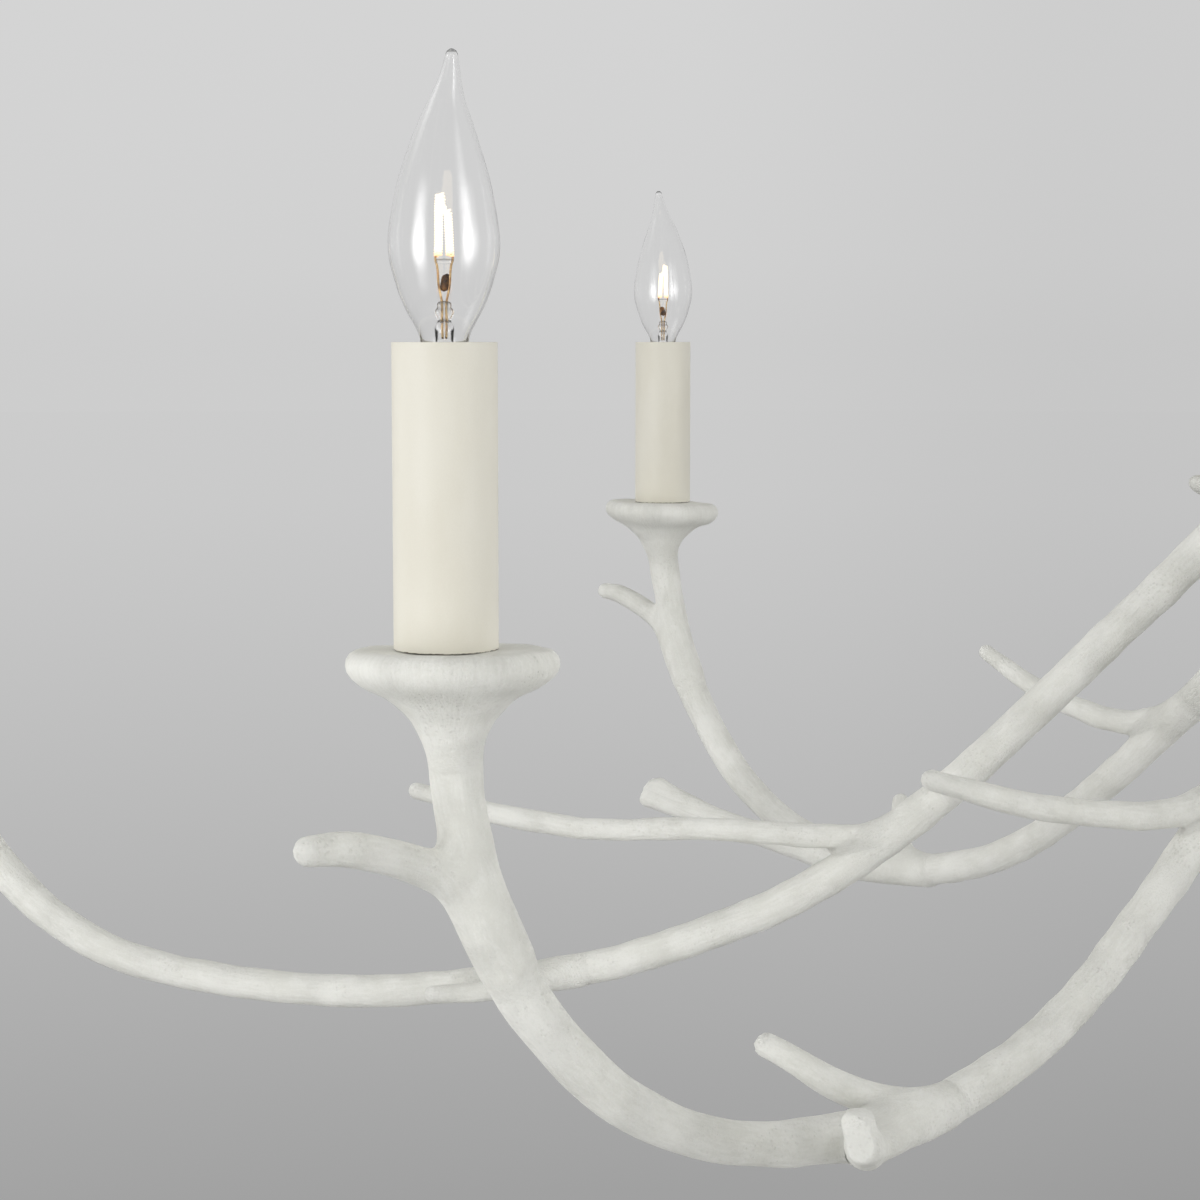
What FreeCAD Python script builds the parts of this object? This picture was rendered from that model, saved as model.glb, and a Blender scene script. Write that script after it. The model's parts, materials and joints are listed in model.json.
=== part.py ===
import FreeCAD, Part
import math
import os
from FreeCAD import Vector

# Branch chandelier: eight cast branch arms, four short and four long, on a hollow trunk that
# hangs from the ceiling by two stems and a universal swivel. All lengths are in millimetres.
# The origin is on the ceiling, at the middle of the mounting crossbar, and Z points up.

# Arms: reach is from the trunk's axis to the candle's axis, sink is from the candle line
# (the height of all sleeve tops) down to the lowest point of the arm's centre line
arms_per_kind_count = 4
short_reach = 489.0
short_sink = 262.0
long_reach = 640.0
long_sink = 277.0
branch_radius = 7.5
twig_radius = 5.0

# Cup: the saucer that ends an arm and carries a candle
cup_radius = 30.7
cup_depth = 34.0
cup_below_line = 87.0
cup_hole_depth = 6.0

# Candle: a sleeve over a lampholder on a threaded nipple
sleeve_radius = 15.2
sleeve_wall = 1.6
lampholder_radius = 11.0
lampholder_length = 44.0
lampholder_recess = 4.0
nipple_radius = 4.85
nipple_wall = 1.3

# Bulb: a clear flame-shaped envelope with a bent tip, on a small screw base
glass_radius = 15.8
glass_height = 83.5
glass_wall = 0.7
glass_tip_bend = 2.4
base_radius = 5.95
base_length = 19.5
stem_flare_radius = 4.8
stem_glass_radius = 2.2
stem_glass_height = 14.0
filament_wire = 0.9
filament_height = 42.0
filament_spread = 3.4

# Trunk: the hollow hub with a slanting boss for each arm
trunk_radius = 24.0
trunk_waist_radius = 21.5
trunk_wall = 3.5
trunk_length = 114.0
trunk_above_line = 24.0
upper_tier_below_top = 11.0
tier_gap = 51.0
boss_slope = math.radians(45.0)
boss_radius = 10.0
boss_reach = 64.0
spigot_radius = 5.0
spigot_length = 18.0
screw_radius = 2.0
screw_hole_run = 20.0
cap_radius = 27.0
cap_height = 22.0
cover_height = 8.0
finial_radius = 12.0
finial_height = 42.0
rod_grip = 12.0

# Stems: two tubes joined by an outside coupler
stem_radius = 6.35
stem_bore = 4.98
plug_radius = 4.9
stem_length = 320.0
coupler_radius = 9.0
coupler_length = 24.0

# Swivel: two forks and a cross, so that the stem hangs plumb under a sloping ceiling
fork_radius = 10.0
fork_bridge = 7.0
fork_room = 14.0
ear_width = 9.0
ear_inner = 6.6
ear_outer = 10.0
trunnion_radius = 2.5

# Ceiling plate: crossbar, nut, canopy and collar
crossbar_length = 104.0
crossbar_width = 20.0
crossbar_thickness = 3.0
screw_spacing = 88.9
ceiling_hole_radius = 2.5
ground_screw_offset = 26.0
ground_screw_radius = 2.0
ground_head_radius = 4.0
ground_head_height = 2.5
nut_radius = 9.0
nut_height = 5.0
canopy_radius = 65.0
canopy_depth = 26.0
canopy_wall = 1.5
collar_radius = 11.0
collar_height = 6.0

# Clearances: fit is between still pieces, running is between turning pieces,
# loose is round a piece that is only dropped in, overrun lets a cutter pass its faces,
# flatness is how far a corner may lie off the plane of a patch that is kept as one face
fit = 0.08
running = 0.05
loose = 0.3
overrun = 1.0
flatness = 1e-7

# Facets: how many flat sides stand for a round piece that is repeated or turned
arm_sides = 8
twig_sides = 6
cup_sides = 11
glass_sides = 8
sleeve_sides = 12
small_sides = 8
nut_sides = 6
turned_sides = 16
canopy_sides = 24

# Heights, worked out from the ceiling downwards
canopy_floor_z = -canopy_depth
fork_top_z = canopy_floor_z - collar_height
swivel_z = fork_top_z - fork_bridge - fork_room
stem_top_z = swivel_z - fork_room - fork_bridge
stem_joint_z = stem_top_z - stem_length
cap_top_z = stem_joint_z - stem_length
trunk_top_z = cap_top_z - cap_height
trunk_bottom_z = trunk_top_z - trunk_length
cover_bottom_z = trunk_bottom_z - cover_height
upper_tier_z = trunk_top_z - upper_tier_below_top
lower_tier_z = upper_tier_z - tier_gap
candle_line_z = trunk_top_z - trunk_above_line
cup_top_z = candle_line_z - cup_below_line
base_top_z = candle_line_z - lampholder_recess

X = Vector(1, 0, 0)
Y = Vector(0, 1, 0)
Z = Vector(0, 0, 1)
ORIGIN = Vector(0, 0, 0)

# Arm outlines. Each row is (share of the run, share of the drop, share of the branch radius).
# The outer rows go from the candle's axis to the low point, the inner rows from there to the trunk.
short_low_share = 0.608
short_outer_shares = [
    (1.000, 0.000, 1.05),
    (0.968, 0.228, 1.04),
    (0.934, 0.354, 1.08),
    (0.868, 0.513, 1.06),
    (0.770, 0.655, 1.04),
    (0.649, 0.785, 1.02),
    (0.489, 0.892, 0.97),
    (0.270, 0.968, 0.93),
    (0.000, 1.000, 1.08),
]
short_inner_shares = [
    (0.196, 0.039, 1.06),
    (0.378, 0.168, 0.98),
    (0.630, 0.475, 1.00),
    (0.901, 0.850, 1.05),
    (1.000, 1.000, 1.12),
]
long_low_share = 0.689
long_outer_shares = [
    (1.000, 0.000, 1.00),
    (0.968, 0.301, 1.02),
    (0.919, 0.475, 1.06),
    (0.832, 0.649, 1.02),
    (0.714, 0.793, 0.97),
    (0.568, 0.898, 0.93),
    (0.389, 0.958, 0.91),
    (0.000, 1.000, 0.92),
]
long_inner_shares = [
    (0.293, 0.064, 0.93),
    (0.471, 0.181, 1.00),
    (0.583, 0.310, 1.02),
    (0.744, 0.567, 1.00),
    (0.927, 0.876, 1.05),
    (1.000, 1.000, 1.12),
]

# Twig outlines. A row is (share of the reach, sideways share of the reach, share of the sink,
# share of the twig radius); the first row lies inside the branch that carries the twig.
short_twig_shares = {
    "cup twig": [
        (0.969, 0.000, 0.649, 1.10),
        (0.996, 0.000, 0.594, 1.15),
        (1.035, 0.002, 0.548, 1.05),
        (1.096, 0.004, 0.532, 0.74),
    ],
    "near twig": [
        (0.601, -0.004, 0.985, 1.15),
        (0.640, -0.025, 0.954, 0.98),
        (0.683, -0.064, 0.903, 0.76),
    ],
    "side twig": [
        (0.618, 0.000, 1.000, 1.30),
        (0.697, 0.045, 0.989, 1.25),
        (0.753, 0.097, 0.943, 1.00),
        (0.824, 0.164, 0.859, 0.88),
    ],
    "upper twig": [
        (0.286, 0.000, 0.660, 1.15),
        (0.389, -0.008, 0.645, 1.00),
        (0.472, -0.025, 0.622, 0.90),
        (0.546, -0.045, 0.578, 0.70),
    ],
}
long_twig_shares = {
    "cup twig": [
        (0.983, 0.000, 0.621, 1.10),
        (1.002, 0.000, 0.567, 1.12),
        (1.030, 0.002, 0.527, 1.02),
        (1.073, 0.003, 0.513, 0.72),
    ],
    "long twig": [
        (0.359, 0.000, 0.751, 1.15),
        (0.409, 0.000, 0.735, 1.00),
        (0.534, 0.000, 0.736, 0.92),
        (0.602, 0.000, 0.717, 0.88),
        (0.655, 0.000, 0.684, 0.66),
    ],
    "low twig": [
        (0.550, 0.000, 0.960, 1.05),
        (0.591, 0.016, 0.975, 0.92),
        (0.637, 0.037, 0.978, 0.68),
    ],
}

# Cup outline, from its foot to its top: share of the cup radius, share of the cup depth
cup_shares = [
    (0.240, 0.00),
    (0.384, 0.46),
    (0.664, 0.64),
    (0.940, 0.77),
    (1.000, 0.88),
    (0.938, 1.00),
]

# Envelope outline, from its neck up: share of the glass radius, share of the height above the
# candle line, share of the tip's sideways bend
glass_shares = [
    (0.430, 0.012, 0.00),
    (0.780, 0.140, 0.00),
    (1.000, 0.310, 0.00),
    (0.930, 0.475, 0.00),
    (0.620, 0.670, 0.05),
    (0.300, 0.815, 0.20),
    (0.120, 0.930, 0.70),
]
glass_tip_share = 0.05

# How far past its last row a twig's rounded tip goes, as a share of the radius there
twig_tip_share = 0.80

# How much wider a boss is at the trunk's axis than at its face
boss_root_share = 1.15

# Turned outlines from the foot up: share of the piece's radius, share of its height
finial_shares = [
    (0.12, 0.00),
    (0.33, 0.14),
    (0.75, 0.38),
    (1.00, 0.67),
    (0.95, 0.86),
    (0.66, 1.00),
]
cover_shares = [
    (0.62, 0.00),
    (1.00, 0.60),
    (1.00, 1.00),
]
cap_shares = [
    (1.00, 0.00),
    (1.00, 0.20),
    (0.70, 0.50),
    (0.38, 0.75),
    (0.35, 1.00),
]
collar_shares = [
    (0.86, 0.00),
    (1.00, 0.20),
    (1.00, 1.00),
]
canopy_shares = [
    (0.72, 0.00),
    (0.95, 0.28),
    (1.00, 0.64),
    (1.00, 1.00),
]
base_shares = [
    (0.45, 0.00),
    (0.55, 0.10),
    (1.00, 0.28),
    (1.00, 1.00),
]

# Which way each bulb's bent tip points once the bulb is screwed home, in degrees
bulb_headings = [200.0, 95.0, 320.0, 30.0, 231.0, 150.0, 51.0, 240.0]


def ring(centre, direction, side, radius, sides):
    """Corners of a regular polygon square to a direction, with one corner towards a side."""
    along = Vector(direction).normalize()
    first = (side - along * side.dot(along)).normalize()
    second = along.cross(first)
    turns = [2 * math.pi * k / sides for k in range(sides)]
    return [centre + (first * math.cos(a) + second * math.sin(a)) * radius for a in turns]


def polygon_face(corners):
    return Part.Face(Part.makePolygon(corners + corners[:1]))


def wall_faces(a, b, c, d):
    """The four-cornered patch a b c d as one flat face, or as two where it is twisted."""
    normal = (b - a).cross(d - a).normalize()
    if abs(normal.dot(c - a)) < flatness:
        return [polygon_face([a, b, c, d])]
    return [polygon_face([a, b, c]), polygon_face([a, c, d])]


def skin(rings):
    """A solid whose wall joins each ring of corners to the next, closed by its end rings."""
    faces = [polygon_face(rings[0]), polygon_face(rings[-1])]
    for low, high in zip(rings, rings[1:]):
        for k in range(len(low)):
            after = (k + 1) % len(low)
            faces += wall_faces(low[k], low[after], high[after], high[k])
    solid = Part.Solid(Part.Shell(faces))
    if solid.Volume < 0:
        solid.reverse()
    return solid


def turned(profile, sides):
    """A turned piece about the Z axis, from (radius, height) pairs."""
    return skin([ring(Z * height, Z, X, radius, sides) for radius, height in profile])


def outline(shares, radius, foot, height):
    """The radius and height pairs of a turned piece, from its shares."""
    return [(girth * radius, foot + rise * height) for girth, rise in shares]


def clearing(radius, sides):
    """Corner radius of a hole of flat sides that a round rod of this radius just passes."""
    return radius / math.cos(math.pi / sides)


def bar(start, direction, side, radius, length, sides):
    """A straight prism of regular section."""
    along = Vector(direction).normalize()
    return skin([ring(start + along * d, along, side, radius, sides) for d in (0, length)])


def rod_between(top, bottom, radius, sides=small_sides):
    return turned([(radius, bottom), (radius, top)], sides)


def bore_between(top, bottom, radius, sides=small_sides):
    """A cutter that clears a rod of this radius and runs past both heights."""
    return rod_between(top + overrun, bottom - overrun, clearing(radius + fit, sides), sides)


def tube_between(top, bottom, radius, inner_radius, sides=small_sides):
    """A tube about the Z axis."""
    bore = rod_between(top + overrun, bottom - overrun, clearing(inner_radius, sides), sides)
    return rod_between(top, bottom, radius, sides).cut(bore)


def headings(points, first=None, last=None):
    """The direction of a path at each of its points, halfway between the runs that meet there."""
    runs = [(b - a).normalize() for a, b in zip(points, points[1:])]
    inner = [before + after for before, after in zip(runs, runs[1:])]
    return [first or runs[0]] + inner + [last or runs[-1]]


def boss_line(tier_z):
    """Where a boss's axis leaves the trunk's axis, and its direction outwards and down."""
    return Z * tier_z, Vector(math.cos(boss_slope), 0, -math.sin(boss_slope))


def seat_of(tier_z):
    """The centre of the boss face that an arm's inner end seats on."""
    start, outward = boss_line(tier_z)
    return start + outward * boss_reach


def branch_path(reach, sink, low_share, outer_shares, inner_shares, tier_z):
    """Centre points and radii of an arm's main branch, from its cup to its seat on the trunk."""
    seat = seat_of(tier_z)
    low = Vector(seat.x + low_share * (reach - seat.x), 0, candle_line_z - sink)
    neck = Vector(reach, 0, cup_top_z - cup_depth / 2)
    points = []
    for run, drop, girth in outer_shares:
        x = low.x + run * (neck.x - low.x)
        z = neck.z + drop * (low.z - neck.z)
        points.append((Vector(x, 0, z), girth * branch_radius))
    for run, rise, girth in inner_shares:
        x = low.x + run * (seat.x - low.x)
        z = low.z + rise * (seat.z - low.z)
        points.append((Vector(x, 0, z), girth * branch_radius))
    return points


def main_branch(path):
    """The arm's tapering branch, upright under the cup and square to the boss at its seat."""
    points = [point for point, radius in path]
    inward = boss_line(0)[1] * -1
    directions = headings(points, Z * -1, inward)
    rows = zip(path, directions)
    return skin([ring(point, along, Y, radius, arm_sides) for (point, radius), along in rows])


def twig(shares, reach, sink):
    """A side twig that thins towards a rounded tip."""
    rows = [
        (Vector(out * reach, side * reach, candle_line_z - down * sink), girth * twig_radius)
        for out, side, down, girth in shares
    ]
    points = [point for point, radius in rows]
    directions = headings(points)
    rings = [
        ring(point, along, Z, radius, twig_sides) for (point, radius), along in zip(rows, directions)
    ]
    end, end_radius = rows[-1]
    along = Vector(directions[-1]).normalize()
    tip_radius = end_radius * math.sqrt(1 - twig_tip_share ** 2)
    rings.append(ring(end + along * end_radius * twig_tip_share, along, Z, tip_radius, twig_sides))
    return skin(rings)


def cup(reach):
    """The saucer on top of an arm's neck, with the hole that the candle's nipple screws into."""
    solid = turned(outline(cup_shares, cup_radius, cup_top_z - cup_depth, cup_depth), cup_sides)
    solid.translate(X * reach)
    return solid


def cup_hole(reach):
    across = clearing(nipple_radius + fit, small_sides)
    start = Vector(reach, 0, cup_top_z + overrun)
    return bar(start, Z * -1, X, across, cup_hole_depth + overrun, small_sides)


def spigot(tier_z, radius, back, ahead):
    """A prism on a boss's axis: back reaches into the trunk from the seat, ahead into the arm."""
    outward = boss_line(tier_z)[1]
    return bar(seat_of(tier_z) - outward * back, outward, Y, radius, back + ahead, small_sides)


def arm(reach, sink, low_share, outer_shares, inner_shares, twig_shares, tier_z):
    """One casting: branch, twigs and cup in one piece, with a spigot for the trunk."""
    path = branch_path(reach, sink, low_share, outer_shares, inner_shares, tier_z)
    pieces = [twig(shares, reach, sink) for shares in twig_shares.values()]
    pieces += [cup(reach), spigot(tier_z, spigot_radius, spigot_length, branch_radius)]
    return main_branch(path).fuse(pieces).cut(cup_hole(reach)).removeSplitter()


def short_arm():
    return arm(short_reach, short_sink, short_low_share, short_outer_shares,
               short_inner_shares, short_twig_shares, lower_tier_z)


def long_arm():
    return arm(long_reach, long_sink, long_low_share, long_outer_shares,
               long_inner_shares, long_twig_shares, upper_tier_z)


def turned_about_z(solid, degrees):
    copy = solid.copy()
    copy.rotate(ORIGIN, Z, degrees)
    return copy


def candle_places():
    """Reach and heading of every candle, going round: short arm, long arm, short arm and so on."""
    step = 360.0 / (2 * arms_per_kind_count)
    reaches = [short_reach, long_reach] * arms_per_kind_count
    return [(reach, k * step) for k, reach in enumerate(reaches)]


def candle_sleeve():
    inner_radius = sleeve_radius - sleeve_wall
    return tube_between(candle_line_z, cup_top_z, sleeve_radius, inner_radius, sleeve_sides)


def lampholder():
    """The insulating barrel that the bulb screws into."""
    top = candle_line_z - lampholder_recess
    barrel = rod_between(top, top - lampholder_length, lampholder_radius)
    across = clearing(base_radius + loose, small_sides)
    return barrel.cut(rod_between(top + overrun, top - base_length - loose, across))


def candle_nipple():
    """The threaded tube that stands in the cup and carries the lampholder."""
    top = candle_line_z - lampholder_recess - lampholder_length
    bottom = cup_top_z - cup_hole_depth
    return tube_between(top, bottom, nipple_radius, nipple_radius - nipple_wall, twig_sides)


def bulb_rows(inset):
    """Centre, radius pairs of the envelope, drawn in by an inset for its inner face."""
    rows = []
    for girth, rise, bend in glass_shares:
        centre = Vector(bend * glass_tip_bend, 0, candle_line_z + rise * glass_height)
        rows.append((centre, girth * glass_radius - inset))
    return rows


def bulb_glass():
    """The clear envelope: a thin wall, open at its neck over the base."""
    neck_z = base_top_z + loose
    neck = glass_shares[0][0] * glass_radius
    outer = [(Z * neck_z, neck)] + bulb_rows(0)
    tip = Vector(glass_tip_bend, 0, candle_line_z + glass_height)
    outer.append((tip, glass_tip_share * glass_radius))
    inner = [(Z * (neck_z - overrun), neck - glass_wall)] + bulb_rows(glass_wall)
    outer_skin = skin([ring(centre, Z, X, radius, glass_sides) for centre, radius in outer])
    inner_skin = skin([ring(centre, Z, X, radius, glass_sides) for centre, radius in inner])
    return outer_skin.cut(inner_skin)


def bulb_base():
    """The screw shell, drawn in at its foot round the centre contact."""
    foot = base_top_z - base_length
    return turned(outline(base_shares, base_radius, foot, base_length), small_sides)


def bulb_filament():
    """Flared glass stem, two support wires and the filament that joins them."""
    foot = base_top_z + loose
    top = foot + stem_glass_height
    stem = turned([
        (stem_flare_radius, foot),
        (stem_glass_radius, foot + stem_flare_radius),
        (stem_glass_radius, top),
    ], twig_sides)
    peak = candle_line_z + filament_height
    width = filament_wire
    wires = []
    for side in (-1, 1):
        corner = Vector(side * filament_spread / 2 - width / 2, -width / 2, top - stem_glass_radius)
        wires.append(Part.makeBox(width, width, peak - corner.z, corner))
    bridge_corner = Vector(-filament_spread / 2 - width / 2, -width / 2, peak - width)
    wires.append(Part.makeBox(filament_spread + width, width, width, bridge_corner))
    return stem.fuse(wires).removeSplitter()


def boss(tier_z):
    """A slanting boss that tapers a little towards its face."""
    start, outward = boss_line(tier_z)
    rings = [
        ring(start, outward, Y, boss_radius * boss_root_share, small_sides),
        ring(seat_of(tier_z), outward, Y, boss_radius, small_sides),
    ]
    return skin(rings)


def screw_line(tier_z):
    """Middle of the spigot and the direction in which its set screw comes in from above."""
    outward = boss_line(tier_z)[1]
    return seat_of(tier_z) - outward * (spigot_length / 2), outward.cross(Y) * -1


def arm_screw(tier_z):
    centre, upward = screw_line(tier_z)
    start = centre + upward * (spigot_radius + fit)
    return bar(start, upward, Y, screw_radius, boss_radius - spigot_radius, twig_sides)


def tiers():
    """Heading and height of every boss, in the order of the candles."""
    heights = [lower_tier_z, upper_tier_z] * arms_per_kind_count
    return [(heading, z) for (reach, heading), z in zip(candle_places(), heights)]


def arm_screws():
    return Part.Compound([turned_about_z(arm_screw(z), heading) for heading, z in tiers()])


def hub_trunk():
    """Hollow trunk with a bored boss and a screw hole for every arm."""
    middle = (trunk_top_z + trunk_bottom_z) / 2
    body = turned([
        (trunk_radius, trunk_bottom_z),
        (trunk_waist_radius, middle),
        (trunk_radius, trunk_top_z),
    ], turned_sides)
    bosses = [turned_about_z(boss(z), heading) for heading, z in tiers()]
    hollow = turned([
        (trunk_waist_radius - trunk_wall, trunk_bottom_z - overrun),
        (trunk_waist_radius - trunk_wall, trunk_top_z + overrun),
    ], turned_sides)
    cutters = [hollow]
    for heading, z in tiers():
        bore = spigot(z, spigot_radius + fit, boss_reach - trunk_wall, overrun)
        centre, upward = screw_line(z)
        hole = bar(centre, upward, Y, screw_radius + fit, screw_hole_run, twig_sides)
        cutters += [turned_about_z(bore, heading), turned_about_z(hole, heading)]
    return body.fuse(bosses).cut(cutters).removeSplitter()


def hub_cap():
    """The cover between the trunk and the lower stem."""
    solid = turned(outline(cap_shares, cap_radius, trunk_top_z, cap_height), turned_sides)
    return solid.cut(bore_between(cap_top_z, trunk_top_z, nipple_radius))


def hub_rod():
    """The threaded tube that holds cap, trunk, cover and finial together."""
    top = cap_top_z + rod_grip
    bottom = cover_bottom_z - rod_grip
    return tube_between(top, bottom, nipple_radius, nipple_radius - nipple_wall)


def hub_cover():
    """The plate that closes the trunk's foot."""
    solid = turned(outline(cover_shares, cap_radius, cover_bottom_z, cover_height), turned_sides)
    return solid.cut(bore_between(trunk_bottom_z, cover_bottom_z, nipple_radius))


def finial():
    """The bud that screws onto the rod and holds the cover up."""
    foot = cover_bottom_z - finial_height
    solid = turned(outline(finial_shares, finial_radius, foot, finial_height), turned_sides)
    return solid.cut(bore_between(cover_bottom_z, cover_bottom_z - rod_grip, nipple_radius))


def upper_stem():
    return tube_between(stem_top_z, stem_joint_z, stem_radius, stem_bore)


def lower_stem():
    return tube_between(stem_joint_z, cap_top_z, stem_radius, stem_bore)


def stem_coupler():
    """The collar over the joint of the two stems."""
    top = stem_joint_z + coupler_length / 2
    bottom = top - coupler_length
    return rod_between(top, bottom, coupler_radius).cut(bore_between(top, bottom, stem_radius))


def fork(bridge_z, upward):
    """A bridge disc with two ears, bored along X; upward is 1 for ears above the bridge."""
    far_z = bridge_z - upward * fork_bridge
    bridge = rod_between(max(bridge_z, far_z), min(bridge_z, far_z), fork_radius)
    pieces = []
    for side in (-1, 1):
        near = min(side * ear_inner, side * ear_outer)
        thickness = ear_outer - ear_inner
        low = min(bridge_z, swivel_z)
        corner = Vector(near, -ear_width / 2, low)
        pieces.append(Part.makeBox(thickness, ear_width, abs(bridge_z - swivel_z), corner))
        pieces.append(bar(Vector(near, 0, swivel_z), X, Y, ear_width / 2, thickness, small_sides))
    bore_start = Vector(-ear_outer - overrun, 0, swivel_z)
    bore = Part.makeCylinder(trunnion_radius + running, 2 * (ear_outer + overrun), bore_start, X)
    return bridge.fuse(pieces).cut(bore).removeSplitter()


def swivel_upper_fork():
    """Screws onto the canopy nipple; its ears hold the cross along X."""
    body = fork(fork_top_z - fork_bridge, -1)
    return body.cut(bore_between(fork_top_z, fork_top_z - fork_bridge, nipple_radius))


def swivel_lower_fork():
    """Turned a quarter from the upper fork, with a spigot that screws into the upper stem."""
    body = turned_about_z(fork(stem_top_z + fork_bridge, 1), 90)
    plug = rod_between(stem_top_z + overrun, stem_top_z - rod_grip, plug_radius)
    return body.fuse(plug).removeSplitter()


def swivel_cross():
    """A block with four trunnions."""
    half = ear_inner - loose
    block = Part.makeBox(2 * half, 2 * half, 2 * half, Vector(-half, -half, swivel_z - half))
    length = 2 * ear_outer
    along_x = Part.makeCylinder(trunnion_radius, length, Vector(-ear_outer, 0, swivel_z), X)
    along_y = Part.makeCylinder(trunnion_radius, length, Vector(0, -ear_outer, swivel_z), Y)
    return block.fuse([along_x, along_y]).removeSplitter()


def canopy():
    """A shallow spun pan, open to the ceiling, with a hole for the nipple in its floor."""
    outer = outline(canopy_shares, canopy_radius, canopy_floor_z, canopy_depth)
    inner = [(radius - canopy_wall, z + canopy_wall) for radius, z in outer[:-1]]
    inner.append((canopy_radius - canopy_wall, overrun))
    pan = turned(outer, canopy_sides).cut(turned(inner, canopy_sides))
    return pan.cut(bore_between(canopy_floor_z + canopy_wall, canopy_floor_z, nipple_radius))


def canopy_collar():
    """The knurled ring under the canopy."""
    top = canopy_floor_z
    bottom = top - collar_height
    solid = turned(outline(collar_shares, collar_radius, bottom, collar_height), turned_sides)
    return solid.cut(bore_between(top, bottom, nipple_radius))


def canopy_nipple():
    """The threaded tube from the crossbar down to the upper fork."""
    bottom = fork_top_z - fork_bridge
    return tube_between(0, bottom, nipple_radius, nipple_radius - nipple_wall)


def crossbar():
    """The steel strap that is screwed to the ceiling box."""
    corner = Vector(-crossbar_length / 2, -crossbar_width / 2, -crossbar_thickness)
    strap = Part.makeBox(crossbar_length, crossbar_width, crossbar_thickness, corner)
    below = -crossbar_thickness - overrun
    deep = crossbar_thickness + 2 * overrun
    ground_hole = bore_between(0, -crossbar_thickness, ground_screw_radius, twig_sides)
    ground_hole.translate(X * ground_screw_offset)
    holes = [ground_hole, bore_between(0, -crossbar_thickness, nipple_radius)]
    for side in (-1, 1):
        place = Vector(side * screw_spacing / 2, 0, below)
        holes.append(Part.makeCylinder(ceiling_hole_radius, deep, place))
    return strap.cut(holes)


def crossbar_nut():
    """The hexagon nut that locks the nipple to the crossbar."""
    top = -crossbar_thickness
    body = rod_between(top, top - nut_height, nut_radius, nut_sides)
    return body.cut(bore_between(top, top - nut_height, nipple_radius))


def ground_screw():
    """The bonding screw, with its head under the crossbar."""
    head_top = -crossbar_thickness
    head = rod_between(head_top, head_top - ground_head_height, ground_head_radius, twig_sides)
    shank = rod_between(0, head_top - ground_head_height / 2, ground_screw_radius, twig_sides)
    screw = head.fuse(shank).removeSplitter()
    screw.translate(X * ground_screw_offset)
    return screw


def save(name, solid):
    solid.exportStep("parts/" + name + ".step")
    count = len(solid.Solids)
    print(name, "solids", count, "valid", solid.isValid(), "volume", round(solid.Volume))


os.makedirs("parts", exist_ok=True)

for piece in (crossbar, ground_screw, crossbar_nut, canopy_nipple, canopy, canopy_collar,
              swivel_upper_fork, swivel_cross, swivel_lower_fork, upper_stem, stem_coupler,
              lower_stem, hub_cap, hub_trunk, hub_rod, hub_cover, finial, arm_screws):
    save(piece.__name__, piece())

for piece in (lampholder, candle_nipple):
    copies = []
    for reach, heading in candle_places():
        solid = piece()
        solid.translate(X * reach)
        copies.append(turned_about_z(solid, heading))
    save(piece.__name__ + "s", Part.Compound(copies))

masters = {"short_arm": short_arm(), "long_arm": long_arm()}
for place, (reach, heading) in enumerate(candle_places()):
    kind = "long_arm" if place % 2 else "short_arm"
    save(kind + "_" + str(place // 2 + 1), turned_about_z(masters[kind], heading))

for place, (reach, heading) in enumerate(candle_places()):
    for piece in (candle_sleeve, bulb_base, bulb_glass, bulb_filament):
        solid = turned_about_z(piece(), bulb_headings[place] - heading)
        solid.translate(X * reach)
        save(piece.__name__ + "_" + str(place + 1), turned_about_z(solid, heading))
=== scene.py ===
# %% [markdown]
# A branch chandelier, dressed piece by piece
#
# The packed model holds the real pieces at their real size: arms, sleeves, bulbs, hub, stems and
# ceiling plate. This lesson loads that frame, measures it, and grows each finished surface over
# it. The large lengths are read from the frame or are shares of one that was. Small ones, such as
# a wall, an edge or a gap, are given where they are first used.

import json

import bpy
import bmesh
import numpy as np
from mathutils import Matrix, Vector


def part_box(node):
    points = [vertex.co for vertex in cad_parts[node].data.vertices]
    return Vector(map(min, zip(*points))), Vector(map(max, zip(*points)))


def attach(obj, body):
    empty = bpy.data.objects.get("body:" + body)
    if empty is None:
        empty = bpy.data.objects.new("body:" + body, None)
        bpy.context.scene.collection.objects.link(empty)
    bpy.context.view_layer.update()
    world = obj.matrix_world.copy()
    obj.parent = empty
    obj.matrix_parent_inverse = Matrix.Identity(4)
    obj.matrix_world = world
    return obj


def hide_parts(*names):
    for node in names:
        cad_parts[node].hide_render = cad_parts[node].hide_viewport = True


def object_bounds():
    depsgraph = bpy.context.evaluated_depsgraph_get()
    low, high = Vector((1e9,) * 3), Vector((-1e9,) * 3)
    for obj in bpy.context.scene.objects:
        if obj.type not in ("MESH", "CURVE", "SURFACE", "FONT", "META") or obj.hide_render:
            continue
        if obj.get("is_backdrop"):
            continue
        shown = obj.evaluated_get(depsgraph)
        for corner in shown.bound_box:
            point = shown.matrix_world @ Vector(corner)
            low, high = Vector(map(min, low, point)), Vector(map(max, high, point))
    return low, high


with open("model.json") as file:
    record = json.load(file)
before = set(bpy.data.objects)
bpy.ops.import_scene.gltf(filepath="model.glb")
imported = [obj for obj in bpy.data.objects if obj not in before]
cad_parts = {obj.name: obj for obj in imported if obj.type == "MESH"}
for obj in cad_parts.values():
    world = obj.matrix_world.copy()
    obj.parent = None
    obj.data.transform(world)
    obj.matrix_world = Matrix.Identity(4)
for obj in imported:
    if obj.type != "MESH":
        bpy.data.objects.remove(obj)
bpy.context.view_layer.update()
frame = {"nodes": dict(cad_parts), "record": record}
nodes = frame["nodes"]
body_of = {}
for body, members in frame["record"]["behaviour"]["bodies"].items():
    for member in members:
        body_of[member] = body

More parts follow.
